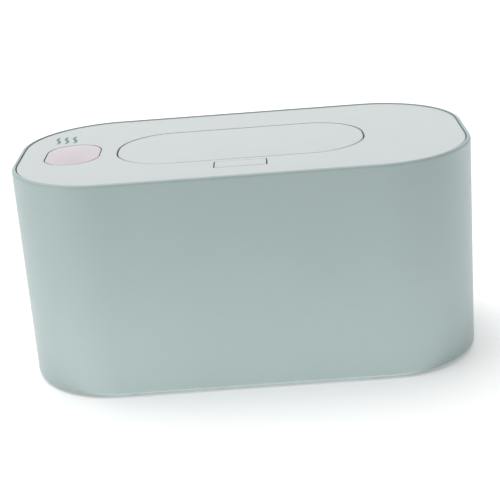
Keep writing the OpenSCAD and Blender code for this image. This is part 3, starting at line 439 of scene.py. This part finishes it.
def cut_socket_hole():
    """A pad behind the back wall, and the stepped hole that the socket seats in."""
    at, out_of = (socket_x, socket_face, socket_z), (0, 1, 0)
    pad_r, pad_depth = socket_pad
    pad_round, mouth, past = 0.3*mm, 0.35*mm, 0.1*mm
    hole_r, seat_r = socket_barrel_r + 0.1*mm, socket_flange[0] + 0.3*mm
    seat = -socket_flange[1] - 0.05*mm
    cut_with(casing, lathe("pad", [(0, -pad_depth), (pad_r - pad_round, -pad_depth),
                                   (pad_r, pad_round - pad_depth), (pad_r, -casing_wall/2),
                                   (0, -casing_wall/2)], casing_mint_painted_shade, at, out_of), "UNION")
    cut_with(casing, lathe("hole", [(0, -2*pad_depth), (hole_r, -2*pad_depth), (hole_r, seat),
                                    (seat_r, seat), (seat_r, past - mouth),
                                    (seat_r + mouth, past), (seat_r + mouth, mm), (0, mm)],
                           casing_mint_painted_shade, at, out_of))


cut_socket_hole()
stands_for(casing, "outer_casing")

flange_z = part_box("inner_tank")[1].z
tank_flange_t = 2.4*mm
rib_size = (1.6*mm, 4.9*mm)
rib_base, rib_top = 4.5*mm, flange_z - tank_flange_t
rib_sunk, plate_gap = 0.5*mm, 0.3*mm
long_wall_ribs = (-36*mm, 0, 36*mm)
end_wall_ribs = (-10*mm, 10*mm)
column_x = 66*mm
column_radius, column_bore, column_ease = 3.3*mm, 1.55*mm, 0.3*mm
long_screw = {"shank": 1.5*mm, "head": 2.8*mm, "length": 14*mm}


def vector_of(tree, x=0.0, y=0.0, z=0.0):
    """A vector of three values."""
    return place(tree, "ShaderNodeCombineXYZ", {0: x, 1: y, 2: z})


def raised(tree, geometry, height):
    """The geometry, moved up."""
    return place(tree, "GeometryNodeTransform",
                 {"Geometry": geometry, "Translation": vector_of(tree, z=height)})


def stand_ribs_tree():
    """Stands a rib on every point. A point's turn says which way it looks."""
    tree, given = new_tree("stand_ribs", Thickness="Float", Depth="Float", Height="Float")
    size = vector_of(tree, given["Depth"], given["Thickness"], given["Height"])
    rib = raised(tree, place(tree, "GeometryNodeMeshCube", {"Size": size}),
                 reckon(tree, "MULTIPLY", given["Height"], 0.5))
    turn = place(tree, "GeometryNodeInputNamedAttribute", {"Name": "turn"}, data_type="FLOAT")
    row = place(tree, "GeometryNodeInstanceOnPoints",
                {"Points": given["Base"], "Instance": rib, "Rotation": vector_of(tree, z=turn)})
    return end_tree(tree, given, row)


def add_casing_ribs():
    """Ribs down the long walls and the ends; their tops carry the tank's flange."""
    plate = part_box("base_plate")[1]
    beyond = plate_gap - rib_size[1]/2 + rib_sunk
    places, turns = [], []
    for side in (-1, 1):
        for x in long_wall_ribs:
            places.append((x, side*(plate.y + beyond), rib_base))
            turns.append(math.pi/2)
        for y in end_wall_ribs:
            places.append((side*(plate.x + beyond), y, rib_base))
            turns.append(0)
    ribs = new_piece("casing_ribs", places)
    ribs.data.attributes.new("turn", "FLOAT", "POINT").data.foreach_set("value", turns)
    grown(ribs, stand_ribs_tree(), thickness=rib_size[0], depth=rib_size[1],
          height=rib_top - rib_base, finish=casing_mint_painted_shade)
    stands_for(ribs, "outer_casing")


def add_screw_columns():
    """Bored columns for the base and tank screws."""
    column_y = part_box("base_screws")[1].y - long_screw["head"]
    outline = [(column_bore, rib_base), (column_radius, rib_base), (column_radius, rib_top),
               (column_bore + column_ease, rib_top), (column_bore, rib_top - column_ease)]
    corners = [(x, y) for x in (-column_x, column_x) for y in (-column_y, column_y)]
    for index, corner in enumerate(corners):
        stands_for(lathe(f"screw_column_{index + 1}", outline, casing_mint_painted_shade, (*corner, 0)),
                   "outer_casing")


add_casing_ribs()
add_screw_columns()


# ---- Power socket and nut ----
# A black nylon barrel socket with a plated centre pin, pushed in from the back and
# held by a plated hex nut behind the wall.
dark_nylon = plastic("dark_nylon", (0.018, 0.019, 0.021), gloss=0.45, grain=1800.0)


def worn_metal():
    """Shader group: plated or rolled metal, with fine drawn lines and dull patches."""
    group, given = new_finish("worn_metal", Colour="Color", Gloss="Float", Lines="Float",
                              Depth="Float")
    where = object_space(group)
    drawn = place(group, "ShaderNodeMapping", {"Vector": where, "Scale": (1, 12, 1)})
    lines = noise(group, drawn, given["Lines"], Detail=4.0)
    patch = noise(group, where, 260.0, Detail=3.0)
    tone = shaded(group, given["Colour"], spread(group, patch, 0.86, 1.08))
    gloss = reckon(group, "MULTIPLY_ADD", lines, 0.22, given["Gloss"])
    return end_finish(group, tone, gloss, bumped(group, lines, given["Depth"], 0.6))


metal_surface = worn_metal()


def metal(name, colour, gloss=0.2, lines=900.0, depth=0.01*mm):
    """A metal's finish."""
    return finish_of(name, metal_surface, {"Colour": (*colour, 1), "Gloss": gloss,
                                           "Lines": lines, "Depth": depth}, Metallic=1.0)


nickel = metal("nickel_plate", (0.66, 0.65, 0.62))


def add_socket():
    """Flanged barrel with its hole, its two solder tags, and the centre pin."""
    at, out_of = (socket_x, socket_face, socket_z), (0, 1, 0)
    flange_r, flange_t = socket_flange
    depth, hole_r, hole_depth = 15*mm, 3.15*mm, 11*mm
    ease = 0.3*mm
    ring_in, ring_out, ring_depth = flange_r - 1.75*mm, flange_r - 1.2*mm, 0.15*mm
    socket = lathe("socket_body",
                   [(0, -depth), (socket_barrel_r - ease, -depth),
                    (socket_barrel_r, ease - depth), (socket_barrel_r, -flange_t),
                    *arc(flange_r - ease, -ease, ease, 0, 90, 4),
                    (ring_out, 0), (ring_out - ring_depth, -ring_depth),
                    (ring_in + ring_depth, -ring_depth), (ring_in, 0),
                    *arc(hole_r + ease, -ease, ease, 90, 180, 4),
                    (hole_r, -hole_depth), (0, -hole_depth)], dark_nylon, at, out_of)
    stands_for(socket, "dc_socket")
    pin_r, pin_tip, pin_round = 1.05*mm, 1.6*mm, 0.4*mm
    pin = lathe("socket_pin", [(0, -depth), (pin_r, -depth),
                               *arc(pin_r - pin_round, -pin_tip - pin_round, pin_round, 0, 90, 4),
                               (0, -pin_tip)], nickel, at, out_of, steps=24)
    stands_for(pin, "dc_socket")
    tag_l, tag_w, tag_t, tag_x, tag_past = 2.6*mm, 1.8*mm, 0.5*mm, 2.2*mm, 0.5*mm
    for index, side in enumerate((-1, 1)):
        tag = new_piece(f"socket_tag_{index + 1}", [], finish=nickel)
        shape = bmesh.new()
        bmesh.ops.create_cube(shape, size=1)
        shape.transform(Matrix.Translation((socket_x + side*tag_x, socket_low.y + tag_l/2,
                                            socket_z))
                        @ Matrix.Diagonal((tag_t, tag_l + 2*tag_past, tag_w, 1)))
        shape.to_mesh(tag.data)
        shape.free()
        stands_for(tag, "dc_socket")


def eased(node, finish, width=0.25*mm, above=0):
    """A copy of a CAD node whose edges, above a height, are rounded as a mould or a press
    leaves them."""
    mesh = nodes[node].data.copy()
    mesh.name = node + "_eased"
    if "custom_normal" in mesh.attributes:
        mesh.attributes.remove(mesh.attributes["custom_normal"])
    shape = bmesh.new()
    shape.from_mesh(mesh)
    bmesh.ops.remove_doubles(shape, verts=shape.verts, dist=0.001*mm)
    bmesh.ops.dissolve_limit(shape, angle_limit=math.radians(0.5), verts=shape.verts,
                             edges=shape.edges)
    rounded = shape.edges.layers.float.new("bevel_weight_edge")
    for edge in shape.edges:
        sharp = edge.calc_face_angle(0) > sharp_angle
        edge[rounded] = sharp and min(corner.co.z for corner in edge.verts) > above
        edge.smooth = not sharp or edge[rounded] > 0
    shape.to_mesh(mesh)
    shape.free()
    mesh.materials.clear()
    mesh.materials.append(finish)
    mesh.polygons.foreach_set("material_index", [0]*len(mesh.polygons))
    mesh.polygons.foreach_set("use_smooth", [True]*len(mesh.polygons))
    piece = bpy.data.objects.new(mesh.name, mesh)
    scene.collection.objects.link(piece)
    bevel = piece.modifiers.new("edges", "BEVEL")
    bevel.width = width
    bevel.segments = 2
    bevel.limit_method = "WEIGHT"
    bevel.harden_normals = True
    bevel.use_clamp_overlap = width < 0.2*mm
    baked(piece)
    return stands_for(piece, node)


add_socket()
eased("socket_nut", nickel, 0.3*mm)


# ---- Tank ----
# A deep white polypropylene tub with a wide flange, which hangs on the casing's ribs
# and is screwed to its columns. Posts under the flange carry the control board.
tank_x = 16*mm
tank_core = (66*mm, 24*mm)
tank_r = 30*mm
tank_white = plastic("tank_white", (0.72, 0.75, 0.74), gloss=0.34, drift=0.03, grain=1500.0,
                     depth=0.012*mm)
eased("inner_tank", tank_white, 0.2*mm)


def tube_along(tree, curve, radius, sides):
    """A capped tube round a curve."""
    ring = place(tree, "GeometryNodeCurvePrimitiveCircle", {"Resolution": sides,
                                                            "Radius": radius})
    return place(tree, "GeometryNodeCurveToMesh", {"Curve": curve, "Profile Curve": ring,
                                                   "Fill Caps": True})


def screw_tree():
    """Stands a screw on every point: a headed, threaded shank with a crossed recess, its
    head's top on the point. Each is turned its own way, and Tip Over points them up."""
    tree, given = new_tree("screw", Shank_Radius="Float", Head_Radius="Float",
                           Seat_Radius="Float", Head_Height="Float", Dome="Float",
                           Length="Float", Pitch="Float", Tip_Over="Float")
    shank_r, head_r, head_h = (given[label] for label in ("Shank_Radius", "Head_Radius",
                                                          "Head_Height"))

    def times(value, share):
        return reckon(tree, "MULTIPLY", value, share)

    def less(whole, part):
        return reckon(tree, "SUBTRACT", whole, part)

    def disc(radius, height):
        return raised(tree, place(tree, "GeometryNodeMeshCircle",
                                  {"Vertices": 24, "Radius": radius}), height)

    rim, under = less(0, given["Dome"]), less(0, head_h)
    crown = place(tree, "GeometryNodeMeshUVSphere", {"Segments": 24, "Rings": 10,
                                                     "Radius": head_r})
    flat = vector_of(tree, 1.0, 1.0, reckon(tree, "DIVIDE", given["Dome"], head_r))
    dome = place(tree, "GeometryNodeTransform", {"Geometry": crown, "Scale": flat})
    parts = place(tree, "GeometryNodeJoinGeometry",
                  {0: [raised(tree, dome, rim), disc(head_r, rim),
                       disc(given["Seat_Radius"], under)]})
    head = place(tree, "GeometryNodeConvexHull", {"Geometry": parts})
    slot_w, slot_l, slot_h = times(head_r, 0.26), times(head_r, 1.1), times(head_h, 1.1)
    arms = place(tree, "GeometryNodeJoinGeometry",
                 {0: [place(tree, "GeometryNodeMeshCube", {"Size": vector_of(tree, *size)})
                      for size in ((slot_w, slot_l, slot_h), (slot_l, slot_w, slot_h))]})
    cut = place(tree, "GeometryNodeMeshBoolean", {"Mesh 1": head, "Mesh 2": arms},
                operation="DIFFERENCE")

    root, crest = times(shank_r, 0.78), times(shank_r, 0.86)
    length = less(given["Length"], head_h)
    core = place(tree, "GeometryNodeMeshCone", {"Vertices": 16, "Radius Bottom": root,
                                                "Radius Top": times(root, 0.55),
                                                "Depth": length})
    core = place(tree, "GeometryNodeTransform", {"Geometry": core, "Rotation": (math.pi, 0, 0)})
    core = raised(tree, core, reckon(tree, "ADD", under, 0.02*mm))
    run = times(length, 0.85)
    helix = place(tree, "GeometryNodeCurveSpiral",
                  {"Resolution": 14, "Rotations": reckon(tree, "DIVIDE", run, given["Pitch"]),
                   "Start Radius": times(crest, 0.7), "End Radius": crest, "Height": run})
    low = reckon(tree, "ADD", less(0, given["Length"]), times(length, 0.04))
    thread = raised(tree, tube_along(tree, helix, times(shank_r, 0.13), 3), low)
    screw = place(tree, "GeometryNodeJoinGeometry", {0: [cut, core, thread]})
    spin = place(tree, "FunctionNodeRandomValue", {3: 2*math.pi, "Seed": 7},
                 data_type="FLOAT")
    turn = vector_of(tree, given["Tip_Over"], 0.0, spin.outputs[1])
    row = place(tree, "GeometryNodeInstanceOnPoints",
                {"Points": given["Base"], "Instance": screw, "Rotation": turn})
    return end_tree(tree, given, row)


screws = screw_tree()
steel = metal("plated_steel", (0.58, 0.57, 0.55), gloss=0.24)


def drive_screws(node, places, shank, head, height, length, upwards=False, flat=False):
    """A node's screws, with the tops of their heads at these places: the radii of shank
    and head, the head's height and the whole length."""
    piece = new_piece(node + "_set", places)
    grown(piece, screws, shank_radius=shank, head_radius=head,
          seat_radius=shank if flat else head*0.97, head_height=height,
          dome=0.05*mm if flat else height*0.45, length=length, pitch=0.9*mm,
          tip_over=math.pi if upwards else 0.0, finish=steel)
    return stands_for(piece, node)


def corner_places(node, head, z, columns_x=None):
    """Where a node's screws stand, from its box; columns_x gives other places along X."""
    low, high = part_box(node)
    along = columns_x or (low.x + head, high.x - head)
    return [(x, y, z) for x in along for y in (low.y + head, high.y - head)]


tank_screw_sunk = 0.2*mm
drive_screws("tank_screws", corner_places("tank_screws", long_screw["head"],
                                          flange_z - tank_screw_sunk),
             **long_screw, height=1.6*mm, flat=True)


# ---- Gasket ----
# A ring of soft silicone cord in a groove round the tank's mouth, for the cover to
# press on. It is moulded in one piece and pushed into its groove.
soft_grey = plastic("silicone_grey", (0.60, 0.63, 0.62), gloss=0.42, drift=0.03, grain=900.0,
                    Subsurface_Weight=0.15, Subsurface_Scale=0.002)
gasket_low, gasket_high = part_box("cover_gasket")
gasket_middle = tank_r + 4*mm
gasket_half = 1.25*mm
gasket_outline = [(gasket_middle - gasket_half, gasket_low.z),
                  (gasket_middle + gasket_half, gasket_low.z),
                  *arc(gasket_middle, gasket_high.z - gasket_half, gasket_half, 0, 180, 12)]
stands_for(swept_round("gasket_cord", gasket_outline, tank_core, soft_grey, (tank_x, 0)),
           "cover_gasket")


# ---- Heat plate, film, fuse and sensor ----
# A rolled aluminium plate bonded under the tank, with an etched foil heater in amber
# film under it. A ceramic thermal fuse and an epoxy bead sensor press on the film.
aluminium = metal("rolled_aluminium", (0.80, 0.81, 0.82), gloss=0.28, lines=600.0)
eased("heat_plate", aluminium)


def heater_film_finish():
    """Amber film over a copper track that runs to and fro."""
    material, tree = new_material("heater_film")
    where = object_space(tree)
    track = place(tree, "ShaderNodeTexWave",
                  {"Vector": where, "Scale": 95.0, "Distortion": 0.0}, bands_direction="Y")
    edge = place(tree, "ShaderNodeMapRange", {"Value": track.outputs["Fac"], "From Min": 0.25,
                                              "From Max": 0.35})
    tint = place(tree, "ShaderNodeMix", {0: edge, 6: (0.42, 0.16, 0.02, 1),
                                         7: (0.55, 0.26, 0.08, 1)}, data_type="RGBA")
    shade = spread(tree, noise(tree, where, 500.0), 0.85, 1.15)
    feed(tree, tree.nodes["Principled BSDF"],
         {"Base Color": shaded(tree, tint.outputs[2], shade), "Roughness": 0.25,
          "Normal": bumped(tree, edge, 0.03*mm)})
    return material


eased("heating_film", heater_film_finish())
ceramic = plastic("fuse_ceramic", (0.74, 0.71, 0.62), gloss=0.3, grain=1200.0)
epoxy = plastic("sensor_epoxy", (0.03, 0.028, 0.03), gloss=0.2, grain=700.0, depth=0.04*mm)
eased("thermal_fuse", ceramic, 0.15*mm)
eased("temperature_sensor", epoxy, 0.12*mm)


# ---- Insulation ----
# A pressed felt pad between the heater and the base, and a foam band round the tank.
# Both are cut from sheet and only held by what they lie against.
def fibrous_finish():
    """Shader group: matted fibres or cells, uneven in tone and height."""
    group, given = new_finish("fibrous", Colour="Color", Fibre="Float", Depth="Float")
    where = object_space(group)
    mat = noise(group, where, given["Fibre"], Detail=6.0, Distortion=1.5)
    cells = place(group, "ShaderNodeTexVoronoi", {"Vector": where, "Scale": given["Fibre"]})
    tone = shaded(group, given["Colour"], spread(group, mat, 0.75, 1.2))
    return end_finish(group, tone, spread(group, mat, 0.85, 1.0),
                      bumped(group, reckon(group, "ADD", mat, cells), given["Depth"]))


fibrous = fibrous_finish()
felt = finish_of("pressed_felt", fibrous, {"Colour": (0.62, 0.56, 0.44, 1), "Fibre": 900.0,
                                           "Depth": 0.25*mm})
foam = finish_of("cell_foam", fibrous, {"Colour": (0.70, 0.70, 0.64, 1), "Fibre": 1500.0,
                                        "Depth": 0.15*mm})
eased("insulation_pad", felt, 0.4*mm)
wrap_low, wrap_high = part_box("insulation_wrap")
wrap_in = tank_r + 1.9*mm
wrap_out = wrap_high.y - tank_core[1]
wrap_ease, waist_depth, waist_steps = 0.8*mm, 0.35*mm, 8


def wrap_outline():
    """Section of the foam band, its outer face drawn in a little between its edges."""
    low, high = wrap_low.z, wrap_high.z
    waist = [(wrap_out - waist_depth*math.sin(math.pi*step/waist_steps),
              low + wrap_ease + (high - low - 2*wrap_ease)*step/waist_steps)
             for step in range(1, waist_steps)]
    return [(wrap_in, low), *arc(wrap_out - wrap_ease, low + wrap_ease, wrap_ease, -90, 0, 4),
            *waist, *arc(wrap_out - wrap_ease, high - wrap_ease, wrap_ease, 0, 90, 4),
            (wrap_in, high)]


stands_for(swept_round("foam_band", wrap_outline(), tank_core, foam, (tank_x, 0)),
           "insulation_wrap")


# ---- Control board ----
# A green epoxy-glass board screwed up to the tank's posts. It carries the chip, a
# capacitor, the leads' block, the push switch and the indicator light.
board_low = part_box("control_board")[0]
board_top = board_low.z + 1.6*mm
capacitor_at, capacitor_r = (board_low.x + 8*mm, board_low.y + 34*mm), 2.6*mm


def board_finish():
    """Green lacquer over copper tracks, which stand out a little."""
    material, tree = new_material("board_lacquer")
    where = object_space(tree)
    tracks = place(tree, "ShaderNodeTexBrick",
                   {"Vector": where, "Scale": 160.0, "Mortar Size": 0.06,
                    "Color1": (0.006, 0.10, 0.035, 1), "Color2": (0.008, 0.12, 0.045, 1),
                    "Mortar": (0.02, 0.22, 0.08, 1)})
    feed(tree, tree.nodes["Principled BSDF"],
         {"Base Color": tracks.outputs["Color"],
          "Roughness": spread(tree, noise(tree, where, 300.0), 0.2, 0.4),
          "Normal": bumped(tree, tracks.outputs["Fac"], 0.03*mm)})
    return material


def add_board():
    """The board with its parts; what stands on it is black, or the capacitor's blue."""
    board = eased("control_board", board_finish(), 0.15*mm)
    board.data.materials.append(dark_nylon)
    board.data.materials.append(plastic("capacitor_sleeve", (0.02, 0.04, 0.12), gloss=0.25))
    for face in board.data.polygons:
        if face.center.z > board_top + 0.05*mm:
            away = math.dist(face.center.xy, capacitor_at)
            face.material_index = 2 if away < capacitor_r else 1


short_screw = {"shank": 1.1*mm, "head": 2.1*mm, "height": 1.3*mm, "length": 8*mm}
add_board()
drive_screws("board_screws", corner_places("board_screws", short_screw["head"],
                                           board_low.z - short_screw["height"]),
             **short_screw, upwards=True)
eased("tact_switch", dark_nylon, 0.2*mm)
eased("indicator_light", plastic("light_resin", (0.85, 0.80, 0.66), gloss=0.12, grain=400.0,
                                 Transmission_Weight=0.35), 0.1*mm)
eased("switch_key", plastic("key_grey", (0.05, 0.05, 0.055), gloss=0.35), 0.2*mm)
bracket_grey = plastic("bracket_grey", (0.46, 0.49, 0.485), gloss=0.36, drift=0.04,
                       grain=1800.0)
eased("switch_plunger", bracket_grey)


# ---- Leads ----
# Two sheathed leads, laid by hand: one from the socket, one from the heater, both
# soldered to the board.
power_route = [(-54, 51.17, 16), (-54, 49.5, 16), (-54, 47.5, 16), (-60, 42, 16), (-80, 39, 16),
               (-92, 30, 20), (-100, 22, 32), (-104, 16, 50), (-105, 14, 68), (-105, 14, 80),
               (-105, 14, 88.8)]
heater_route = [(-50, -10, 18.9), (-62, -10, 18.8), (-78, -11, 17), (-90, -12, 20),
                (-97, -13, 32), (-99, -14, 50), (-100, -14, 68), (-100, -14, 80),
                (-100, -14, 88.8)]


def lead_tree():
    """A round sheath along a smooth curve through the base's points."""
    tree, given = new_tree("lead", Radius="Float", Steps="Int", Sides="Int")
    route = place(tree, "GeometryNodeMeshToCurve", {"Mesh": given["Base"]})
    smooth = place(tree, "GeometryNodeCurveSplineType", {"Curve": route},
                   spline_type="CATMULL_ROM")
    fine = place(tree, "GeometryNodeSetSplineResolution", {"Geometry": smooth,
                                                           "Resolution": given["Steps"]})
    return end_tree(tree, given, tube_along(tree, fine, given["Radius"], given["Sides"]))


sheath = lead_tree()


def lay_lead(node, route, finish):
    """Lays a lead along its route's points, which are in millimetres."""
    points = [tuple(c*mm for c in point) for point in route]
    lead = new_piece(node + "_sheath", points, [(i, i + 1) for i in range(len(points) - 1)])
    grown(lead, sheath, radius=1.35*mm, steps=8, sides=16, finish=finish)
    return stands_for(lead, node)


lay_lead("power_lead", power_route, plastic("lead_black", (0.02, 0.02, 0.022), gloss=0.45,
                                            grain=1200.0))
lay_lead("heater_lead", heater_route, plastic("lead_white", (0.66, 0.64, 0.58), gloss=0.5,
                                              grain=900.0, depth=0.05*mm))


# ---- Base plate, screws and feet ----
# A ribbed ABS plate screwed up into the columns, with vents under the board and four
# moulded rubber feet pressed into its seats.
base_white = plastic("base_white", (0.55, 0.60, 0.595), gloss=0.42, drift=0.04)
eased("base_plate", base_white, 0.15*mm)
base_head_h = 1.7*mm
base_seat_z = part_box("base_plate")[0].z + 1.2*mm
drive_screws("base_screws", corner_places("base_screws", long_screw["head"],
                                          base_seat_z - base_head_h),
             **long_screw, height=base_head_h, upwards=True)
rubber = plastic("foot_rubber", (0.055, 0.06, 0.06), gloss=0.6, drift=0.08, grain=1100.0,
                 depth=0.05*mm)


def add_foot(node):
    """A turned rubber foot: a rounded rim and a shallow ring in its tread."""
    low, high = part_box(node)
    middle = ((low.x + high.x)/2, (low.y + high.y)/2, 0)
    radius, ease = (high.x - low.x)/2, 0.8*mm
    ring_in, ring_out, ring_depth = 2.6*mm, 4*mm, 0.3*mm
    foot = lathe(node + "_tread",
                 [(0, low.z), (ring_in, low.z), (ring_in + ring_depth, low.z + ring_depth),
                  (ring_out - ring_depth, low.z + ring_depth), (ring_out, low.z),
                  *arc(radius - ease, low.z + ease, ease, -90, 0, 5),
                  (radius, high.z), (0, high.z)], rubber, middle)
    stands_for(foot, node)


for foot_node in ("foot_front_left", "foot_front_right", "foot_back_left", "foot_back_right"):
    add_foot(foot_node)


# ---- Top cover ----
# One mint ABS moulding: the deck, its skirt, the wells for lid and button and the posts
# for hinge, latch and liner. It lifts off; the edges of its deck are eased by the mould.
cover_mint = plastic("cover_mint", (0.57, 0.61, 0.615), gloss=0.34, drift=0.035)
deck_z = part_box("top_cover")[1].z
eased("top_cover", cover_mint, above=deck_z - 0.5*mm)


def add_heat_mark():
    """Three wavy lines printed behind the button, a sign for heat. Their ends are round."""
    ink = plastic("mark_ink", (0.12, 0.25, 0.24), gloss=0.45, grain=1500.0)
    line_w, line_h, proud, steps = 1.7*mm, 15*mm, 0.03*mm, 32
    middle, spacing, wave = Vector((-101*mm, 31.5*mm)), 4.8*mm, 0.95*mm
    least_width, fullness = 0.02, 12
    vertices, faces = [], []
    for line in (-1, 0, 1):
        first = len(vertices)
        for i in range(steps + 1):
            t = i/steps
            centre = middle + Vector((line*spacing + wave*math.sin(2*math.pi*t),
                                      (t - 0.5)*line_h))
            slope = 2*math.pi*wave*math.cos(2*math.pi*t)/line_h
            across = Vector((1, -slope)).normalized()
            half = line_w/2*math.sqrt(max(least_width, 1 - abs(2*t - 1)**fullness))
            for side, z in ((-1, -proud), (1, -proud), (1, proud), (-1, proud)):
                x, y = centre + side*half*across
                vertices.append((x, y, deck_z + z))
        for i in range(steps):
            a = first + 4*i
            faces += [(a + k, a + (k + 1) % 4, a + 4 + (k + 1) % 4, a + 4 + k) for k in range(4)]
        faces += [(first, first + 1, first + 2, first + 3),
                  tuple(first + 4*steps + k for k in (3, 2, 1, 0))]
    mark = settle(new_piece("heat_mark", vertices, (), faces, ink))
    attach(mark, "top_cover")


add_heat_mark()


# ---- Cover liner and insert ----
# A white inner moulding screwed up under the cover keeps the steam in. The soft
# insert, with the slot that the wipes come through, is pressed into the well's floor.
liner_white = plastic("liner_white", (0.72, 0.75, 0.74), gloss=0.34, drift=0.03, grain=1500.0)
eased("cover_liner", liner_white, 0.2*mm)
liner_low, liner_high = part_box("liner_screws")
liner_inner_x = 38*mm
liner_columns = (liner_low.x + short_screw["head"], -liner_inner_x, liner_inner_x,
                 liner_high.x - short_screw["head"])
drive_screws("liner_screws", corner_places("liner_screws", short_screw["head"], liner_low.z,
                                           liner_columns), **short_screw, upwards=True)
insert_silicone = plastic("insert_silicone", (0.52, 0.57, 0.56), gloss=0.4, drift=0.03,
                          grain=900.0, Subsurface_Weight=0.2, Subsurface_Scale=0.002)
eased("dispensing_insert", insert_silicone, 0.12*mm)


# ---- Flip lid and hinge ----
# The flush oval lid turns on two steel pins by bent arms that reach under the deck.
# A white panel pushed into its underside carries the lip seal.
eased("flip_lid", cover_mint, 0.12*mm)
eased("lid_inner_panel", liner_white)
eased("hinge_pins", steel, 0.15*mm)
seal_low, seal_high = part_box("lid_seal")
insert_core = (35*mm, 2*mm)
lid_y = -1.9*mm
seal_middle, seal_half = 18*mm, 1.45*mm
lip_half, lip_tip, lip_slope = 0.8*mm, 0.55*mm, 0.2*mm
seal_shoulder = seal_high.z - 1.2*mm
seal_outline = [(seal_middle - seal_half, seal_high.z), (seal_middle - seal_half, seal_shoulder),
                (seal_middle - lip_half, seal_shoulder - lip_slope),
                *arc(seal_middle, seal_low.z + lip_tip, lip_tip, 180, 360, 8),
                (seal_middle + lip_half, seal_shoulder - lip_slope),
                (seal_middle + seal_half, seal_shoulder), (seal_middle + seal_half, seal_high.z)]
stands_for(swept_round("seal_lip", seal_outline, insert_core, soft_grey, (0, lid_y)), "lid_seal")


# ---- Lift spring ----
# A coil of music wire with closed ends, on a peg in the lid's well. It lifts the lid off
# its catch; the springs of latch and button are wound in the same way.
def coil_tree():
    """A coil on each point, both ends closed: the wire lies level there for a while."""
    tree, given = new_tree("coil", Mean_Radius="Float", Wire_Radius="Float", Turns="Float",
                           Closed="Float", Height="Float", Steps="Int", Sides="Int")
    line = place(tree, "GeometryNodeCurvePrimitiveLine")
    fine = place(tree, "GeometryNodeResampleCurve", {"Curve": line, "Count": given["Steps"]})
    along = place(tree, "GeometryNodeSplineParameter").outputs["Factor"]
    turned = reckon(tree, "MULTIPLY", along, given["Turns"])
    angle = reckon(tree, "MULTIPLY", turned, 2*math.pi)
    x, y = (reckon(tree, "MULTIPLY", reckon(tree, share, angle), given["Mean_Radius"])
            for share in ("COSINE", "SINE"))
    climb = place(tree, "ShaderNodeMapRange",
                  {"Value": turned, "From Min": given["Closed"],
                   "From Max": reckon(tree, "SUBTRACT", given["Turns"], given["Closed"]),
                   "To Min": given["Wire_Radius"],
                   "To Max": reckon(tree, "SUBTRACT", given["Height"], given["Wire_Radius"])})
    bent = place(tree, "GeometryNodeSetPosition", {"Geometry": fine,
                                                   "Position": vector_of(tree, x, y, climb)})
    level = place(tree, "GeometryNodeSetCurveNormal", {"Curve": bent}, mode="Z_UP")
    wire = tube_along(tree, level, given["Wire_Radius"], given["Sides"])
    row = place(tree, "GeometryNodeInstanceOnPoints", {"Points": given["Base"],
                                                       "Instance": wire})
    return end_tree(tree, given, row)


coil = coil_tree()
music_wire = metal("music_wire", (0.50, 0.50, 0.49), gloss=0.18, lines=1400.0)
closed_turns = 0.4


def wind_spring(node, radius, wire, turns, y, x=None):
    """Winds a node's spring about (x, y): mean radius, wire radius and free turns. Without
    an x it is in the middle of the node."""
    low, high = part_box(node)
    middle_x = (low.x + high.x)/2 if x is None else x
    spring = new_piece(node + "_coil", [(middle_x, y, low.z)])
    all_turns = turns + 2*closed_turns
    grown(spring, coil, mean_radius=radius, wire_radius=wire, turns=all_turns,
          closed=closed_turns, height=high.z - low.z, steps=int(28*all_turns), sides=10,
          finish=music_wire)
    return stands_for(spring, node)


wind_spring("lift_spring", 2*mm, 0.25*mm, 3.5, y=-29.5*mm)


# ---- Press latch ----
# A grey acetal bolt slides in a bracket screwed under the deck. The flush mint tab
# turns on two stubs, and its slanted ribs draw the bolt's nose out of the lid.
latch_y = -47*mm
bracket_screw_x = 18.4*mm
eased("latch_bracket", bracket_grey, 0.15*mm)
bracket_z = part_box("bracket_screws")[0].z
drive_screws("bracket_screws", [(side*bracket_screw_x, latch_y, bracket_z) for side in (-1, 1)],
             shank=1.1*mm, head=1.5*mm, height=1.3*mm, length=6*mm, upwards=True)
eased("latch_bolt", bracket_grey, 0.12*mm)
eased("latch_tab", cover_mint, 0.12*mm)
latch_spring = wind_spring("latch_spring", 1.9*mm, 0.25*mm, 4.5, y=latch_y)
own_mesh(latch_spring)


# ---- Power button ----
# A glossy pale pink acrylic cap on a stem, held from below by a spring clip and
# returned by its coil.
button_pink = plastic("button_pink", (0.53, 0.465, 0.50), gloss=0.14, drift=0.03, grain=700.0,
                      depth=0.006*mm, Coat_Weight=0.3, Coat_Roughness=0.08)
eased("power_button", button_pink)
eased("button_clip", steel, 0.15*mm)
button_low, button_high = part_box("power_button")
button_x = ((button_low + button_high)/2).x
button_spring = wind_spring("button_spring", 4.6*mm, 0.35*mm, 3.5, y=lid_y, x=button_x)
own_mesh(button_spring)
